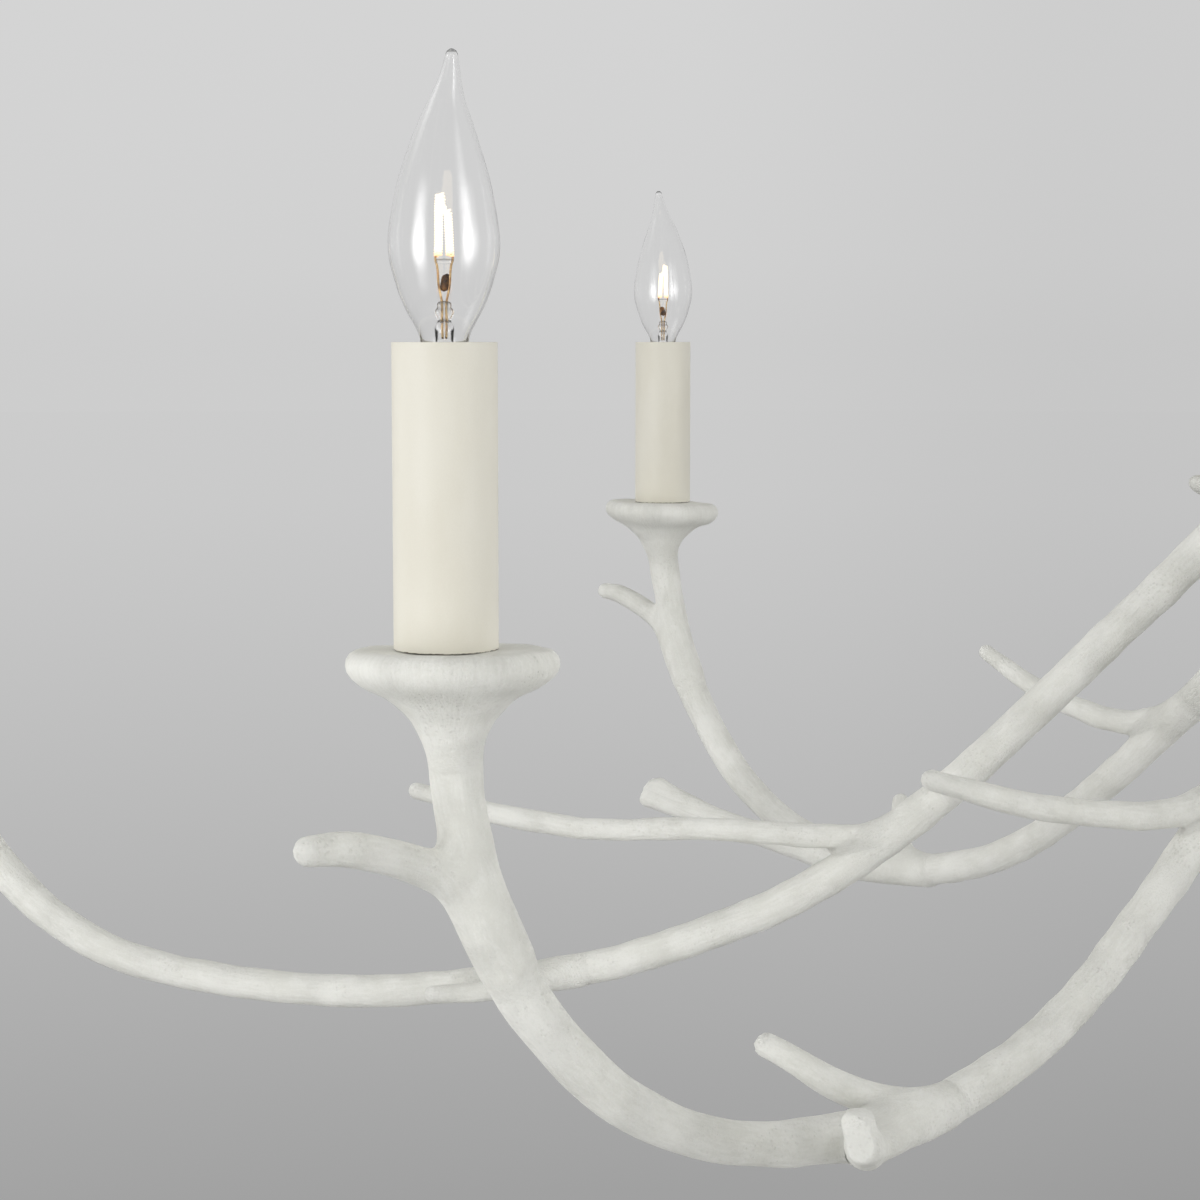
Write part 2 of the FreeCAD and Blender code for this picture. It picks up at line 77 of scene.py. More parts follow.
# %% [markdown]
# Measuring the candles
#
# Eight candles stand round the hub, short and long arms in turn. Each candle's place is the
# middle of its sleeve's box. The line of the sleeve tops is the height that everything else on
# an arm is measured down from.

# %% Candle places
MM = 0.001
CANDLES = 8
up = np.array([0.0, 0.0, 1.0])


def corners(node):
    """The low and high corner of a node's box as arrays."""
    low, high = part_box(node)
    return np.array(low), np.array(high)


def turn(points, heading):
    """Points turned round the vertical axis: x and y mixed by the cosine and sine of the heading."""
    c, s = np.cos(heading), np.sin(heading)
    x, y, z = points[..., 0], points[..., 1], points[..., 2]
    return np.stack([c * x - s * y, s * x + c * y, z], axis=-1)


candles = []
for number in range(1, CANDLES + 1):
    low, high = corners("candle_sleeve_" + str(number))
    middle = (low + high) / 2
    candles.append({
        "number": number,
        "reach": float(np.hypot(middle[0], middle[1])),
        "heading": float(np.arctan2(middle[1], middle[0])),
        "axis": np.array([middle[0], middle[1], 0.0]),
    })
sleeve_low, sleeve_high = corners("candle_sleeve_1")
sleeve_radius = float(sleeve_high[1] - sleeve_low[1]) / 2
candle_line = float(sleeve_high[2])
cup_top = float(sleeve_low[2])
print("reaches in mm", [round(candle["reach"] / MM) for candle in candles[:2]])
print("sleeve radius in mm", round(sleeve_radius / MM, 2))

# %% [markdown]
# Surfaces from grids
#
# A turned or drawn piece is a stack of rings: a grid whose rows go along the piece and whose
# columns go round it. The faces are the same for every grid, so one function makes them with
# whole arrays. The side that faces out is found from the volume: a closed skin whose faces look
# inwards has a negative one, and is turned round.


# %% Rings into a mesh
def angles(count):
    """Evenly spaced angles of one whole turn."""
    return np.linspace(0, 2 * np.pi, count, endpoint=False)


def circles(radius, height, angle):
    """Level rings: x = radius cos(angle), y = radius sin(angle), z = height. Radius and height
    are columns with one row for each ring."""
    x = radius * np.cos(angle)
    return np.stack([x, radius * np.sin(angle), np.broadcast_to(height, x.shape)], axis=-1)


def ring_faces(rows, columns, joined):
    """Quads between neighbouring rings; when joined, the last ring also meets the first."""
    row = np.arange(rows if joined else rows - 1)[:, None]
    column = np.arange(columns)[None, :]
    following, beside = (row + 1) % rows, (column + 1) % columns
    corner = [row * columns + column, row * columns + beside,
              following * columns + beside, following * columns + column]
    return np.stack(np.broadcast_arrays(*corner), axis=-1).reshape(-1, 4)


def fan_faces(first, columns, pole):
    """Triangles from one ring to a single point."""
    column = np.arange(columns)
    beside = (column + 1) % columns
    return np.stack([first + column, first + beside, np.full(columns, pole)], axis=-1)


def skin(rings, closing="poles"):
    """A closed skin over rings. Closing is by poles at both ends, or by joining last to first."""
    rows, columns = rings.shape[:2]
    points = rings.reshape(-1, 3)
    quads = ring_faces(rows, columns, closing == "joined")
    triangles = np.zeros((0, 3), int)
    if closing == "poles":
        points = np.vstack([points, rings[0].mean(0), rings[-1].mean(0)])
        foot = fan_faces(0, columns, rows * columns)[:, ::-1]
        head = fan_faces((rows - 1) * columns, columns, rows * columns + 1)
        triangles = np.vstack([foot, head])
    halves = np.vstack([quads[:, [0, 1, 2]], quads[:, [0, 2, 3]], triangles])
    a, b, c = points[halves[:, 0]], points[halves[:, 1]], points[halves[:, 2]]
    if (np.cross(a, b) * c).sum() < 0:
        quads, triangles = quads[:, ::-1], triangles[:, ::-1]
    return points, [quads, triangles]


def joined(parts):
    """Several skins as one: the points stacked, the faces counted on from where each starts."""
    points, quads, triangles, start = [], [], [], 0
    for part_points, (part_quads, part_triangles) in parts:
        points.append(part_points)
        quads.append(part_quads + start)
        triangles.append(part_triangles + start)
        start += len(part_points)
    return np.vstack(points), [np.vstack(quads), np.vstack(triangles)]


print("four rings of six:", len(ring_faces(4, 6, False)), "quads,", len(ring_faces(4, 6, True)), "joined")

# %% [markdown]
# A mesh is written in one go from flat arrays: the points, the corners of all faces one after
# another, and where each face starts. A finished piece is such a mesh with its material, tied to
# the body that it moves with and to the node of the frame that it takes the place of.


# %% Meshes and pieces
def mesh_from(name, points, faces):
    """A mesh from points and lists of equal-sided faces, written as flat arrays."""
    sizes = np.concatenate([np.full(len(group), group.shape[1]) for group in faces])
    corner = np.concatenate([np.asarray(group).ravel() for group in faces])
    mesh = bpy.data.meshes.new(name)
    mesh.vertices.add(len(points))
    mesh.vertices.foreach_set("co", np.asarray(points, np.float32).ravel())
    mesh.loops.add(len(corner))
    mesh.loops.foreach_set("vertex_index", corner.astype(np.int32))
    mesh.polygons.add(len(sizes))
    starts = np.concatenate([[0], np.cumsum(sizes)[:-1]])
    mesh.polygons.foreach_set("loop_start", starts.astype(np.int32))
    mesh.polygons.foreach_set("use_smooth", np.ones(len(sizes), bool))
    mesh.update(calc_edges=True)
    mesh.validate()
    return mesh


def piece(name, shape, finish, stands_for=None, body=None):
    """A finished piece: its mesh, its material, the body that it rides on and what it replaces."""
    points, faces = shape
    made = bpy.data.objects.new(name, mesh_from(name, points, faces))
    bpy.context.scene.collection.objects.link(made)
    made.data.materials.append(finish)
    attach(made, body or body_of[stands_for])
    if stands_for:
        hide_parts(stands_for)
    return made


print("bodies that pieces can ride on:", sorted(set(body_of.values()))[:3], "and so on")

# %% [markdown]
# A profile on paper has corners, and a spun or moulded piece has none that are sharp. `soften`
# rounds each corner of a profile with a short parabola, and `turned` spins the profile.
# `smooth_line` draws the one curve through a table's rows that a bent batten would take.


# %% Turned pieces
def soften(profile, radius, steps=4):
    """Each corner becomes a parabola between points a radius before and after it:
    (1-u)^2 a + 2u(1-u) corner + u^2 b. A short edge gives up at most 0.45 of its length."""
    profile = np.asarray(profile, float)
    before, after = profile[:-2] - profile[1:-1], profile[2:] - profile[1:-1]
    corner = profile[1:-1]

    def away(edge):
        """The step from a corner along an edge."""
        length = np.linalg.norm(edge, axis=1, keepdims=True)
        return edge / length * np.minimum(radius, 0.45 * length)

    a, b = corner + away(before), corner + away(after)
    u = np.linspace(0, 1, steps + 1)[None, :, None]
    arcs = (1 - u) ** 2 * a[:, None] + 2 * u * (1 - u) * corner[:, None] + u ** 2 * b[:, None]
    return np.vstack([profile[:1], arcs.reshape(-1, 2), profile[-1:]])


def turned(profile, centre=(0.0, 0.0, 0.0), around=48, closing="poles"):
    """A (radius, height) profile spun about the vertical through a centre."""
    profile = np.asarray(profile, float)
    rings = circles(profile[:, :1], profile[:, 1:], angles(around))
    return skin(rings + np.asarray(centre), closing)


def spun_tube(outer, bore, edge, centre=(0.0, 0.0, 0.0), around=48):
    """A turned piece with a straight bore: down the outside, up the bore, corners softened."""
    outer = np.asarray(outer, float)
    loop = np.vstack([outer, [[bore, outer[-1, 1]], [bore, outer[0, 1]]], outer[:1], outer[1:2]])
    return turned(soften(loop, edge)[1:-1], centre, around, "joined")


def passed_along(points):
    """How far along a line of points each of them lies."""
    return np.concatenate([[0], np.cumsum(np.linalg.norm(np.diff(points, axis=0), axis=1))])


def smooth_line(rows, count):
    """Evenly spaced points on the natural cubic through the rows. On each span the line is a
    cubic, and one set of linear equations makes slope and bend agree where spans meet."""
    rows = np.asarray(rows, float)
    knots = passed_along(rows[:, :3])
    span = np.diff(knots)
    inner = np.arange(1, len(rows) - 1)
    balance = np.eye(len(rows))
    balance[inner, inner - 1] = span[:-1]
    balance[inner, inner] = 2 * (span[:-1] + span[1:])
    balance[inner, inner + 1] = span[1:]
    slope = np.diff(rows, axis=0) / span[:, None]
    pull = np.zeros_like(rows)
    pull[1:-1] = 6 * np.diff(slope, axis=0)
    bend = np.linalg.solve(balance, pull)
    along = np.linspace(0, knots[-1], count)
    k = np.clip(np.searchsorted(knots, along, "right") - 1, 0, len(span) - 1)
    h = span[k][:, None]
    u = along[:, None] - knots[k][:, None]
    v = h - u
    return ((bend[k] * v ** 3 + bend[k + 1] * u ** 3) / (6 * h)
            + (rows[k] / h - bend[k] * h / 6) * v + (rows[k + 1] / h - bend[k + 1] * h / 6) * u)


square = [(0, 0), (1, 0), (1, 1), (0, 1)]
print("a square's outline has", len(soften(square, 0.1)), "points when softened")

# %% [markdown]
# Writing finishes as sums
#
# A material is a small network of nodes. It reads better as arithmetic, so a node's output is
# wrapped in a class that understands sums and adds the Math node itself. Everything else goes
# through one method, `node`, which sets a node's settings and then its inputs.


# %% A socket that can be added and multiplied
class Value:
    """One output of a node, usable in sums with numbers and with other outputs."""

    def __init__(self, finish, socket):
        self.finish = finish
        self.socket = socket

    def sum(self, operation, first, second):
        """A Math node, fed by two numbers or outputs."""
        settings = {"operation": operation}
        return self.finish.node("ShaderNodeMath", settings, {0: first, 1: second})

    def __add__(self, other):
        return self.sum("ADD", self, other)

    def __sub__(self, other):
        return self.sum("SUBTRACT", self, other)

    def __rsub__(self, other):
        return self.sum("SUBTRACT", other, self)

    def __mul__(self, other):
        return self.sum("MULTIPLY", self, other)

    def __rtruediv__(self, other):
        return self.sum("DIVIDE", other, self)

    __radd__ = __add__
    __rmul__ = __mul__


print("sums understood:", [name for name in vars(Value) if name in ("__add__", "__sub__", "__mul__")])

# %% [markdown]
# The network's builder knows the few kinds of node that the finishes here share: object places, a
# noise, a ramp, a smooth step, a mix of colours, a bump, and the principled surface.


# %% The builder of a finish
class Finish:
    """A material, the world or a lamp's cloth, being built node by node."""

    def __init__(self, name, owner=None):
        self.owner = owner or bpy.data.materials.new(name)
        self.owner.use_nodes = True
        self.tree = self.owner.node_tree
        self.tree.nodes.clear()

    def node(self, kind, settings=None, inputs=None, output=0):
        """A node of any kind: its settings first, where stops fill a ramp, then the values or
        links of its inputs. Returns one of its outputs."""
        made = self.tree.nodes.new(kind)
        for key, value in (settings or {}).items():
            if key == "stops":
                ramp = made.color_ramp.elements
                while len(ramp) < len(value):
                    ramp.new(1.0)
                for stop, (place, colour) in zip(ramp, value):
                    stop.position = place
                    stop.color = (*colour, 1.0)
            else:
                setattr(made, key, value)
        for key, value in (inputs or {}).items():
            if isinstance(value, Value):
                self.tree.links.new(value.socket, made.inputs[key])
            elif hasattr(value, "__len__") and len(value) == 3 and made.inputs[key].type == "RGBA":
                made.inputs[key].default_value = (*value, 1.0)
            else:
                made.inputs[key].default_value = value
        return Value(self, made.outputs[output])

    def place(self):
        """Object coordinates: metres in the frame, the same in every view."""
        return self.node("ShaderNodeTexCoord", output="Object")

    def stretched(self, vector, scale):
        """A vector with each of its parts scaled."""
        return self.node("ShaderNodeVectorMath", {"operation": "MULTIPLY"}, {0: vector, 1: scale})

    def part(self, vector, axis):
        """One of a vector's three numbers; axis is 0, 1 or 2."""
        return self.node("ShaderNodeSeparateXYZ", None, {0: vector}, output=axis)

    def noise(self, vector, scale, detail=3.0, rough=0.5):
        """Soft random cloud from 0 to 1, `scale` lumps to the metre."""
        inputs = {"Vector": vector, "Scale": scale, "Detail": detail, "Roughness": rough}
        return self.node("ShaderNodeTexNoise", None, inputs)

    def ramp(self, factor, *stops):
        """A colour ramp; each stop is a place and a colour."""
        return self.node("ShaderNodeValToRGB", {"stops": stops}, {0: factor})

    def rise(self, value, low, high):
        """0 below low, 1 above high, and an S-curve between."""
        settings = {"interpolation_type": "SMOOTHSTEP"}
        return self.node("ShaderNodeMapRange", settings, {0: value, 1: low, 2: high})

    def mix(self, factor, a, b):
        """Colour a where the factor is 0, colour b where it is 1."""
        return self.node("ShaderNodeMix", {"data_type": "RGBA"}, {0: factor, 6: a, 7: b}, output=2)

    def bump(self, height, distance):
        """Tilts the surface normal as if height, times a distance in metres, stood on it."""
        inputs = {"Height": height, "Distance": distance, "Strength": 1.0}
        return self.node("ShaderNodeBump", None, inputs)

    def surface(self, inputs):
        """The principled surface, wired to the output."""
        return self.end(self.node("ShaderNodeBsdfPrincipled", None, inputs))

    def end(self, shader, kind="ShaderNodeOutputMaterial"):
        """The output node, fed by a shader. Returns what was finished."""
        made = self.tree.nodes.new(kind)
        self.tree.links.new(shader.socket, made.inputs["Surface"])
        return self.owner


print("the builder's steps:", [name for name in vars(Finish) if not name.startswith("_")])

# %% [markdown]
# The white plaster finish
#
# The castings are brushed with a thick chalky white coat. It is matt, slightly warm, and shows
# three things up close: long brush strokes that follow the branch, a fine sandy grain, and here
# and there a pinhole where a bubble dried. The strokes need to know which way the branch runs, so
# the arms carry an attribute called grain: how far off its centre line a point lies, and how far
# along it. Turned pieces have no branch and use plain object coordinates.

# %% Plaster
PLASTER_LIGHT = (0.890, 0.888, 0.838)
PLASTER_SHADE = (0.80, 0.798, 0.74)
# The colour the pinholes are darkened toward: painted shade inside them.
PLASTER_PIT_SHADE = (0.62, 0.61, 0.55)
RELIEF_HEIGHT = 0.4 * MM


def plaster(name, follows_branch):
    """The tone is a weighted sum of a broad cloud, the strokes and the sand: random tone, and painted
    shade, as the colour is darker where strokes and sand sink into hollows. The relief is such a sum
    too, less the pits, which are the middles of small cells wherever a patch lets them in. The pits
    are darkened a little and the twigs' ends lightened: painted shade and a painted highlight."""
    finish = Finish(name)
    place = finish.place()
    run = place
    if follows_branch:
        run = finish.node("ShaderNodeAttribute", {"attribute_name": "grain"}, output="Vector")
    strokes = finish.noise(finish.stretched(run, (1.0, 1.0, 0.16)), 760.0, 4.0, 0.65)
    broad = finish.noise(finish.stretched(run, (1.0, 1.0, 0.30)), 240.0, 3.0, 0.55)
    sand = finish.noise(place, 1150.0, 4.0, 0.72)
    sand_patch = finish.rise(finish.noise(place, 60.0, 3.0, 0.6), 0.40, 0.64)
    cloud = finish.noise(place, 42.0, 4.0, 0.6)
    cells = {"Vector": place, "Scale": 620.0}
    near_pit = finish.node("ShaderNodeTexVoronoi", {"feature": "F1"}, cells, "Distance")
    pit_patch = finish.rise(finish.noise(place, 34.0, 3.0, 0.6), 0.50, 0.62)
    rough_end = 0.0
    if follows_branch:
        rough_end = finish.node("ShaderNodeAttribute", {"attribute_name": "rough_end"}, output="Fac")
        pit_patch = finish.rise(pit_patch + rough_end, 0.2, 0.9)
    pit = (1 - finish.rise(near_pit, 0.10, 0.42)) * pit_patch
    # Strokes and sand raise both the relief and the tone, so hollows come out darker: painted shade mixed
    # with the cloud's random tone.
    tone = finish.rise(cloud * 0.5 + strokes * 0.28 + sand * 0.22, 0.36, 0.64)
    # Near the twigs' ends the tone is lifted: a painted highlight on the end faces.
    tone = finish.rise(tone + rough_end * 0.6, 0.0, 1.0)
    # In the pits the colour is darkened a little: painted shade inside the pinholes.
    colour = finish.mix(pit * 0.16, finish.mix(tone, PLASTER_SHADE, PLASTER_LIGHT), PLASTER_PIT_SHADE)
    relief = (broad * 1.2 + strokes * (0.9 - rough_end * 0.5)
              + sand * (0.75 + sand_patch * 0.9 + rough_end * 0.5) - pit * 0.5)
    normal = finish.bump(relief, RELIEF_HEIGHT)
    roughness = 0.62 + strokes * 0.22
    return finish.surface({"Base Color": colour, "Roughness": roughness, "Normal": normal,
                           "Specular IOR Level": 0.35})


brushed_plaster = plaster("brushed_plaster", follows_branch=True)
turned_plaster = plaster("turned_plaster", follows_branch=False)


def plastered(name, shape, node):
    """A piece in the turned parts' plaster that takes the place of a node."""
    return piece(name, shape, turned_plaster, node)


for finish in (brushed_plaster, turned_plaster):
    print(finish.name, len(finish.node_tree.nodes), "nodes")

# %% [markdown]
# The arms as distance fields
#
# An arm is one casting: a bending branch, its twigs and a saucer-like cup, all melting into each
# other. Tubes pushed through each other would show hard seams, so the casting is described by a
# distance instead: how far a point is from the wanted surface, negative inside. The distance to a
# branch is the distance to its centre line less its radius. Two branches are melted together by
# taking the lower distance, rounded off where both are nearly equal. The solid arm from the frame
# is remeshed finely, and each of its points is then moved onto the surface where the distance is
# zero.


# %% Distances to tubes, turned bodies and rods
def chain(rows):
    """Distance to a line of balls joined by cones. For each run the nearest point of its axis is
    found, and the distance to it less the radius there; the least of all runs counts. Returns the
    distance, its slope, and the grain: offset across the line, and length along it."""
    centre, radius = rows[:, :3], rows[:, 3]
    start, run = centre[:-1], np.diff(centre, axis=0)
    square = (run ** 2).sum(1)
    passed = np.concatenate([[0], np.cumsum(np.sqrt(square))])

    def field(p):
        offset = (p ** 2).sum(1)[:, None] - 2 * p @ start.T + (start ** 2).sum(1)
        lead = p @ run.T - (start * run).sum(1)
        share = np.clip(lead / square, 0, 1)
        away = np.sqrt(np.maximum(offset - 2 * share * lead + share ** 2 * square, 1e-18))
        gap = away - radius[:-1] - share * np.diff(radius)
        k = gap.argmin(1)
        n = np.arange(len(p))
        side = p - start[k] - share[n, k, None] * run[k]
        along = run[k] / np.sqrt(square[k])[:, None]
        across = np.cross(along, side)
        length = passed[k] + share[n, k] * np.sqrt(square[k])
        grain = np.stack([side[:, 1], across[:, 1], length], axis=1)
        return gap[n, k], side / away[n, k, None], grain

    return field


def spun(profile, centre):
    """Distance to a turned body. In the plane of radius and height it is the distance to the
    nearest edge of the closed profile, negative where a level line crosses it an odd number of
    times."""
    profile = np.asarray(profile, float)
    start, run = profile, np.roll(profile, -1, axis=0) - profile
    square = np.maximum((run ** 2).sum(1), 1e-18)

    def field(p):
        flat = p[:, :2] - centre[:2]
        ring = np.maximum(np.linalg.norm(flat, axis=1), 1e-9)
        q = np.stack([ring, p[:, 2] - centre[2]], axis=1)
        w = q[:, None] - start
        share = np.clip((w * run).sum(2) / square, 0, 1)
        off = w - share[..., None] * run
        away = np.sqrt((off ** 2).sum(2))
        k = away.argmin(1)
        n = np.arange(len(p))
        above = (start[:, 1] > q[:, 1:]) != (start[:, 1] + run[:, 1] > q[:, 1:])
        slant = np.where(np.abs(run[:, 1]) < 1e-12, 1e-12, run[:, 1])
        crossing = start[:, 0] + (q[:, 1:] - start[:, 1]) / slant * run[:, 0]
        inside = (above & (q[:, :1] < crossing)).sum(1) % 2 == 1
        sign = np.where(inside, -1.0, 1.0)
        slope = sign[:, None] * off[n, k] / np.maximum(away[n, k, None], 1e-12)
        outward = np.column_stack([flat / ring[:, None] * slope[:, :1], slope[:, 1]])
        grain = np.column_stack([flat / ring[:, None] * profile[:, 0].max(), ring + q[:, 1]])
        return sign * away[n, k], outward, grain

    return field


def rod(start, end, radius):
    """Distance to a straight rod with flat ends: the greater of the gap to its side and the gap
    to its nearer end."""
    start, end = np.asarray(start, float), np.asarray(end, float)
    axis = (end - start) / np.linalg.norm(end - start)
    middle, half = (start + end) / 2, np.linalg.norm(end - start) / 2

    def field(p):
        lead = (p - middle) @ axis
        side = p - middle - lead[:, None] * axis
        away = np.maximum(np.linalg.norm(side, axis=1), 1e-9)
        to_side, to_end = away - radius, np.abs(lead) - half
        slope = np.where((to_side > to_end)[:, None], side / away[:, None], np.sign(lead)[:, None] * axis)
        return np.maximum(to_side, to_end), slope, p - middle

    return field


probe = np.array([[30 * MM, 0.0, 0.0]])
gap = rod((0, 0, -MM), (0, 0, MM), 5 * MM)(probe)[0]
print("from a rod of radius 5 mm to a point 30 mm off its axis:", round(gap[0] / MM, 1), "mm")

# %% [markdown]
# Fields are joined and cut by comparing distances, and each result is a field again. Melting is
# the rounded union of a casting, carving makes its bores, and trimming saws it off flat.


# %% Melt, carve and trim
def melt(first, second, reach):
    """The union of two fields, rounded off where they are within a reach of each other:
    h = 1/2 + (b - a) / 2 reach, held from 0 to 1, and the distance is b + (a - b) h - reach h (1 - h)."""
    def field(p):
        a, slope_a, grain_a = first(p)
        b, slope_b, grain_b = second(p)
        h = np.clip(0.5 + 0.5 * (b - a) / reach, 0, 1)
        share = h[:, None]
        return (b + (a - b) * h - reach * h * (1 - h), slope_b + (slope_a - slope_b) * share,
                grain_b + (grain_a - grain_b) * share)

    return field


def carve(solid, cutter):
    """What is left of a solid when a cutter is taken away: the greater of the solid's distance
    and the cutter's distance with its sign turned."""
    def field(p):
        a, slope_a, grain = solid(p)
        b, slope_b, _ = cutter(p)
        kept = (a > -b)[:, None]
        return np.maximum(a, -b), np.where(kept, slope_a, -slope_b), grain

    return field


def trim(solid, point, outward):
    """A solid sawn off flat at a point: nothing is left on the outward side."""
    point, outward = np.asarray(point, float), np.asarray(outward, float)

    def field(p):
        a, slope_a, grain = solid(p)
        b = (p - point) @ outward
        kept = (a > b)[:, None]
        return np.maximum(a, b), np.where(kept, slope_a, outward), grain

    return field


ball = chain(np.array([[0.0, 0.0, 0.0, 5 * MM], [0.0, 0.0, MM, 5 * MM]]))
gap = melt(ball, ball, 4 * MM)(probe)[0]
print("two like fields melt", round((25 * MM - gap[0]) / MM, 1), "mm fatter, a quarter of the reach")

# %% [markdown]
# From solid to smooth casting
#
# The seed is a copy of the frame's solid with its loose triangles merged, so that the voxel remesh
# can lay an even grid over it. Each point is then moved along the slope by its distance, a few
# times. Where the points have moved far they bunch up, so each is drawn halfway to the middle of
# its neighbours and settled again. Hand-made castings are never quite even, so a sum of slow
# waves, mostly within a fifth of a millimetre, is taken off the distance.

# %% Remesh and settle
LUMP_WAVES = [(210, 90, 60), (-120, 170, 130), (60, -80, 240), (330, 250, -190), (-280, 350, 310)]
LUMP_HEIGHT = 0.16 * MM
MERGE_DISTANCE = 1e-6
LEAST_STEEP = 0.3
SETTLE_STEPS = 7
LONGEST_STEP = 1.6 * MM
SETTLE_CHUNK = 6000
SETTLE_AGAIN = 3
EVENING_ROUNDS = 2


def lumps(p):
    """A sum of sines, each along its own direction."""
    waves = np.array(LUMP_WAVES, float)
    return LUMP_HEIGHT * np.sin(p @ waves.T + np.arange(len(waves))).sum(1) / 2


def seed(node, voxel, heading=0.0, balls=()):
    """The points and faces of a node's solid, remeshed to an even grid, turned back by a heading.
    Balls, given as centre and radius, are joined to it where the casting has more than the solid."""
    copy = nodes[node].data.copy()
    solid = bmesh.new()
    solid.from_mesh(copy)
    bmesh.ops.remove_doubles(solid, verts=solid.verts, dist=MERGE_DISTANCE)
    for ball in balls:
        place = Matrix.Translation(turn(np.array(ball[:3]), heading))
        bmesh.ops.create_icosphere(solid, subdivisions=2, radius=float(ball[3]), matrix=place)
    solid.to_mesh(copy)
    solid.free()
    holder = bpy.data.objects.new("seed_" + node, copy)
    bpy.context.scene.collection.objects.link(holder)
    remesh = holder.modifiers.new("even_grid", "REMESH")
    remesh.mode = "VOXEL"
    remesh.voxel_size = voxel
    view = bpy.context.evaluated_depsgraph_get()
    result = bpy.data.meshes.new_from_object(holder.evaluated_get(view))
    points = np.zeros(len(result.vertices) * 3)
    result.vertices.foreach_get("co", points)
    corner = np.zeros(len(result.loops), np.int32)
    result.loops.foreach_get("vertex_index", corner)
    bpy.data.objects.remove(holder)
    bpy.data.meshes.remove(result)
    return turn(points.reshape(-1, 3), -heading), corner.reshape(-1, 4)


def settle(points, field, uneven, steps=SETTLE_STEPS):
    """Each point moves by its distance against the slope, no further than the longest step at a
    time, several times over. Returns the points and their grain."""
    done, grains = [], []
    for chunk in np.array_split(points, len(points) // SETTLE_CHUNK + 1):
        for _ in range(steps):
            distance, slope, grain = field(chunk)
            if uneven:
                distance = distance - lumps(chunk)
            steep = np.maximum((slope ** 2).sum(1), LEAST_STEEP)
            step = np.clip(distance / steep, -LONGEST_STEP, LONGEST_STEP)
            chunk = chunk - step[:, None] * slope
        done.append(chunk)
        grains.append(field(chunk)[2])
    return np.vstack(done), np.vstack(grains)


def evened(points, quads):
    """Each point drawn halfway to the mean of the points that share an edge with it."""
    start, end = quads.ravel(), np.roll(quads, -1, axis=1).ravel()
    count = np.bincount(start, minlength=len(points))
    total = [np.bincount(start, points[end, axis], len(points)) for axis in range(3)]
    total = np.stack(total, axis=1)
    return (points + total / np.maximum(count, 1)[:, None]) / 2


def grown(node, field, voxel, heading=0.0, uneven=False, balls=()):
    """A seed settled onto a field, as points, faces and grain in the node's own heading."""
    points, quads = seed(node, voxel, heading, balls)
    points, grain = settle(points, field, uneven)
    for _ in range(EVENING_ROUNDS):
        points, grain = settle(evened(points, quads), field, uneven, SETTLE_AGAIN)
    return points, [quads, np.zeros((0, 3), int)], grain


spread = lumps(np.linspace([-0.5, -0.5, -1.0], [0.5, 0.4, 0.0], 4000))
print("lumps in mm: usually", round(spread.std() / MM, 2), "at most", round(spread.max() / MM, 2))

# %% [markdown]
# The lines of the branches
#
# A row of the tables says where the branch's centre is: out from the hub, sideways, and down from
# the candle line, all as shares of the arm's reach, and its girth as a share of the plain radius.
# The branch leaves the cup straight down, sweeps in a long curve and climbs back to the hub. A
# twig starts inside the branch, runs along with it and then parts from it, as a twig grows. The
# side twig's heel is a second line under its end, which makes the face of its cut a long oval.

# %% Tables of the two arms
branch_radius = 7.5 * MM
twig_radius = 5.0 * MM

short_branch_shares = [
    (0.9965, 0.003, 0.2127, 1.05), (0.9950, 0.002, 0.2474, 1.05), (0.9880, 0.000, 0.2863, 1.02),
    (0.9770, -0.001, 0.3272, 1.06), (0.9540, -0.002, 0.3783, 1.06), (0.9190, -0.002, 0.4243, 1.04),
    (0.8760, -0.001, 0.4663, 1.02), (0.8180, 0.0, 0.5015, 0.97), (0.7403, 0.0, 0.5256, 0.97),
    (0.6920, 0.0, 0.5312, 1.08), (0.6442, 0.0, 0.5346, 1.10), (0.5828, 0.0, 0.5296, 1.03),
    (0.5358, 0.0, 0.5187, 0.99), (0.4908, 0.0, 0.5030, 0.96), (0.4356, 0.0, 0.4735, 0.95),
    (0.3681, 0.0, 0.4228, 0.96), (0.2965, 0.0, 0.3620, 1.00), (0.2147, 0.0, 0.2873, 1.02),
    (0.1472, 0.0, 0.2249, 1.05), (0.0925, 0.0, 0.1702, 1.12),
]
long_branch_shares = [
    (1.0000, 0.0, 0.1625, 1.00), (0.9977, 0.0, 0.2000, 1.00), (0.9906, 0.0, 0.2437, 1.02),
    (0.9766, 0.0, 0.2906, 1.06), (0.9516, 0.0, 0.3375, 1.02), (0.9172, 0.0, 0.3766, 0.97),
    (0.8750, 0.0, 0.4047, 0.93), (0.8234, 0.0, 0.4211, 0.91), (0.7656, 0.0, 0.4289, 0.90),
    (0.7109, 0.0, 0.4323, 0.92), (0.6484, 0.0, 0.4289, 0.93), (0.5859, 0.0, 0.4203, 0.92),
    (0.5234, 0.0, 0.4078, 0.93), (0.4688, 0.0, 0.3891, 0.96), (0.4094, 0.0, 0.3633, 1.00),
    (0.3375, 0.0, 0.3141, 1.02), (0.2891, 0.0, 0.2720, 1.00), (0.2344, 0.0, 0.2175, 1.00),
    (0.1719, 0.0, 0.1545, 1.02), (0.1172, 0.0, 0.0977, 1.05), (0.0707, 0.0, 0.0504, 1.12),
]
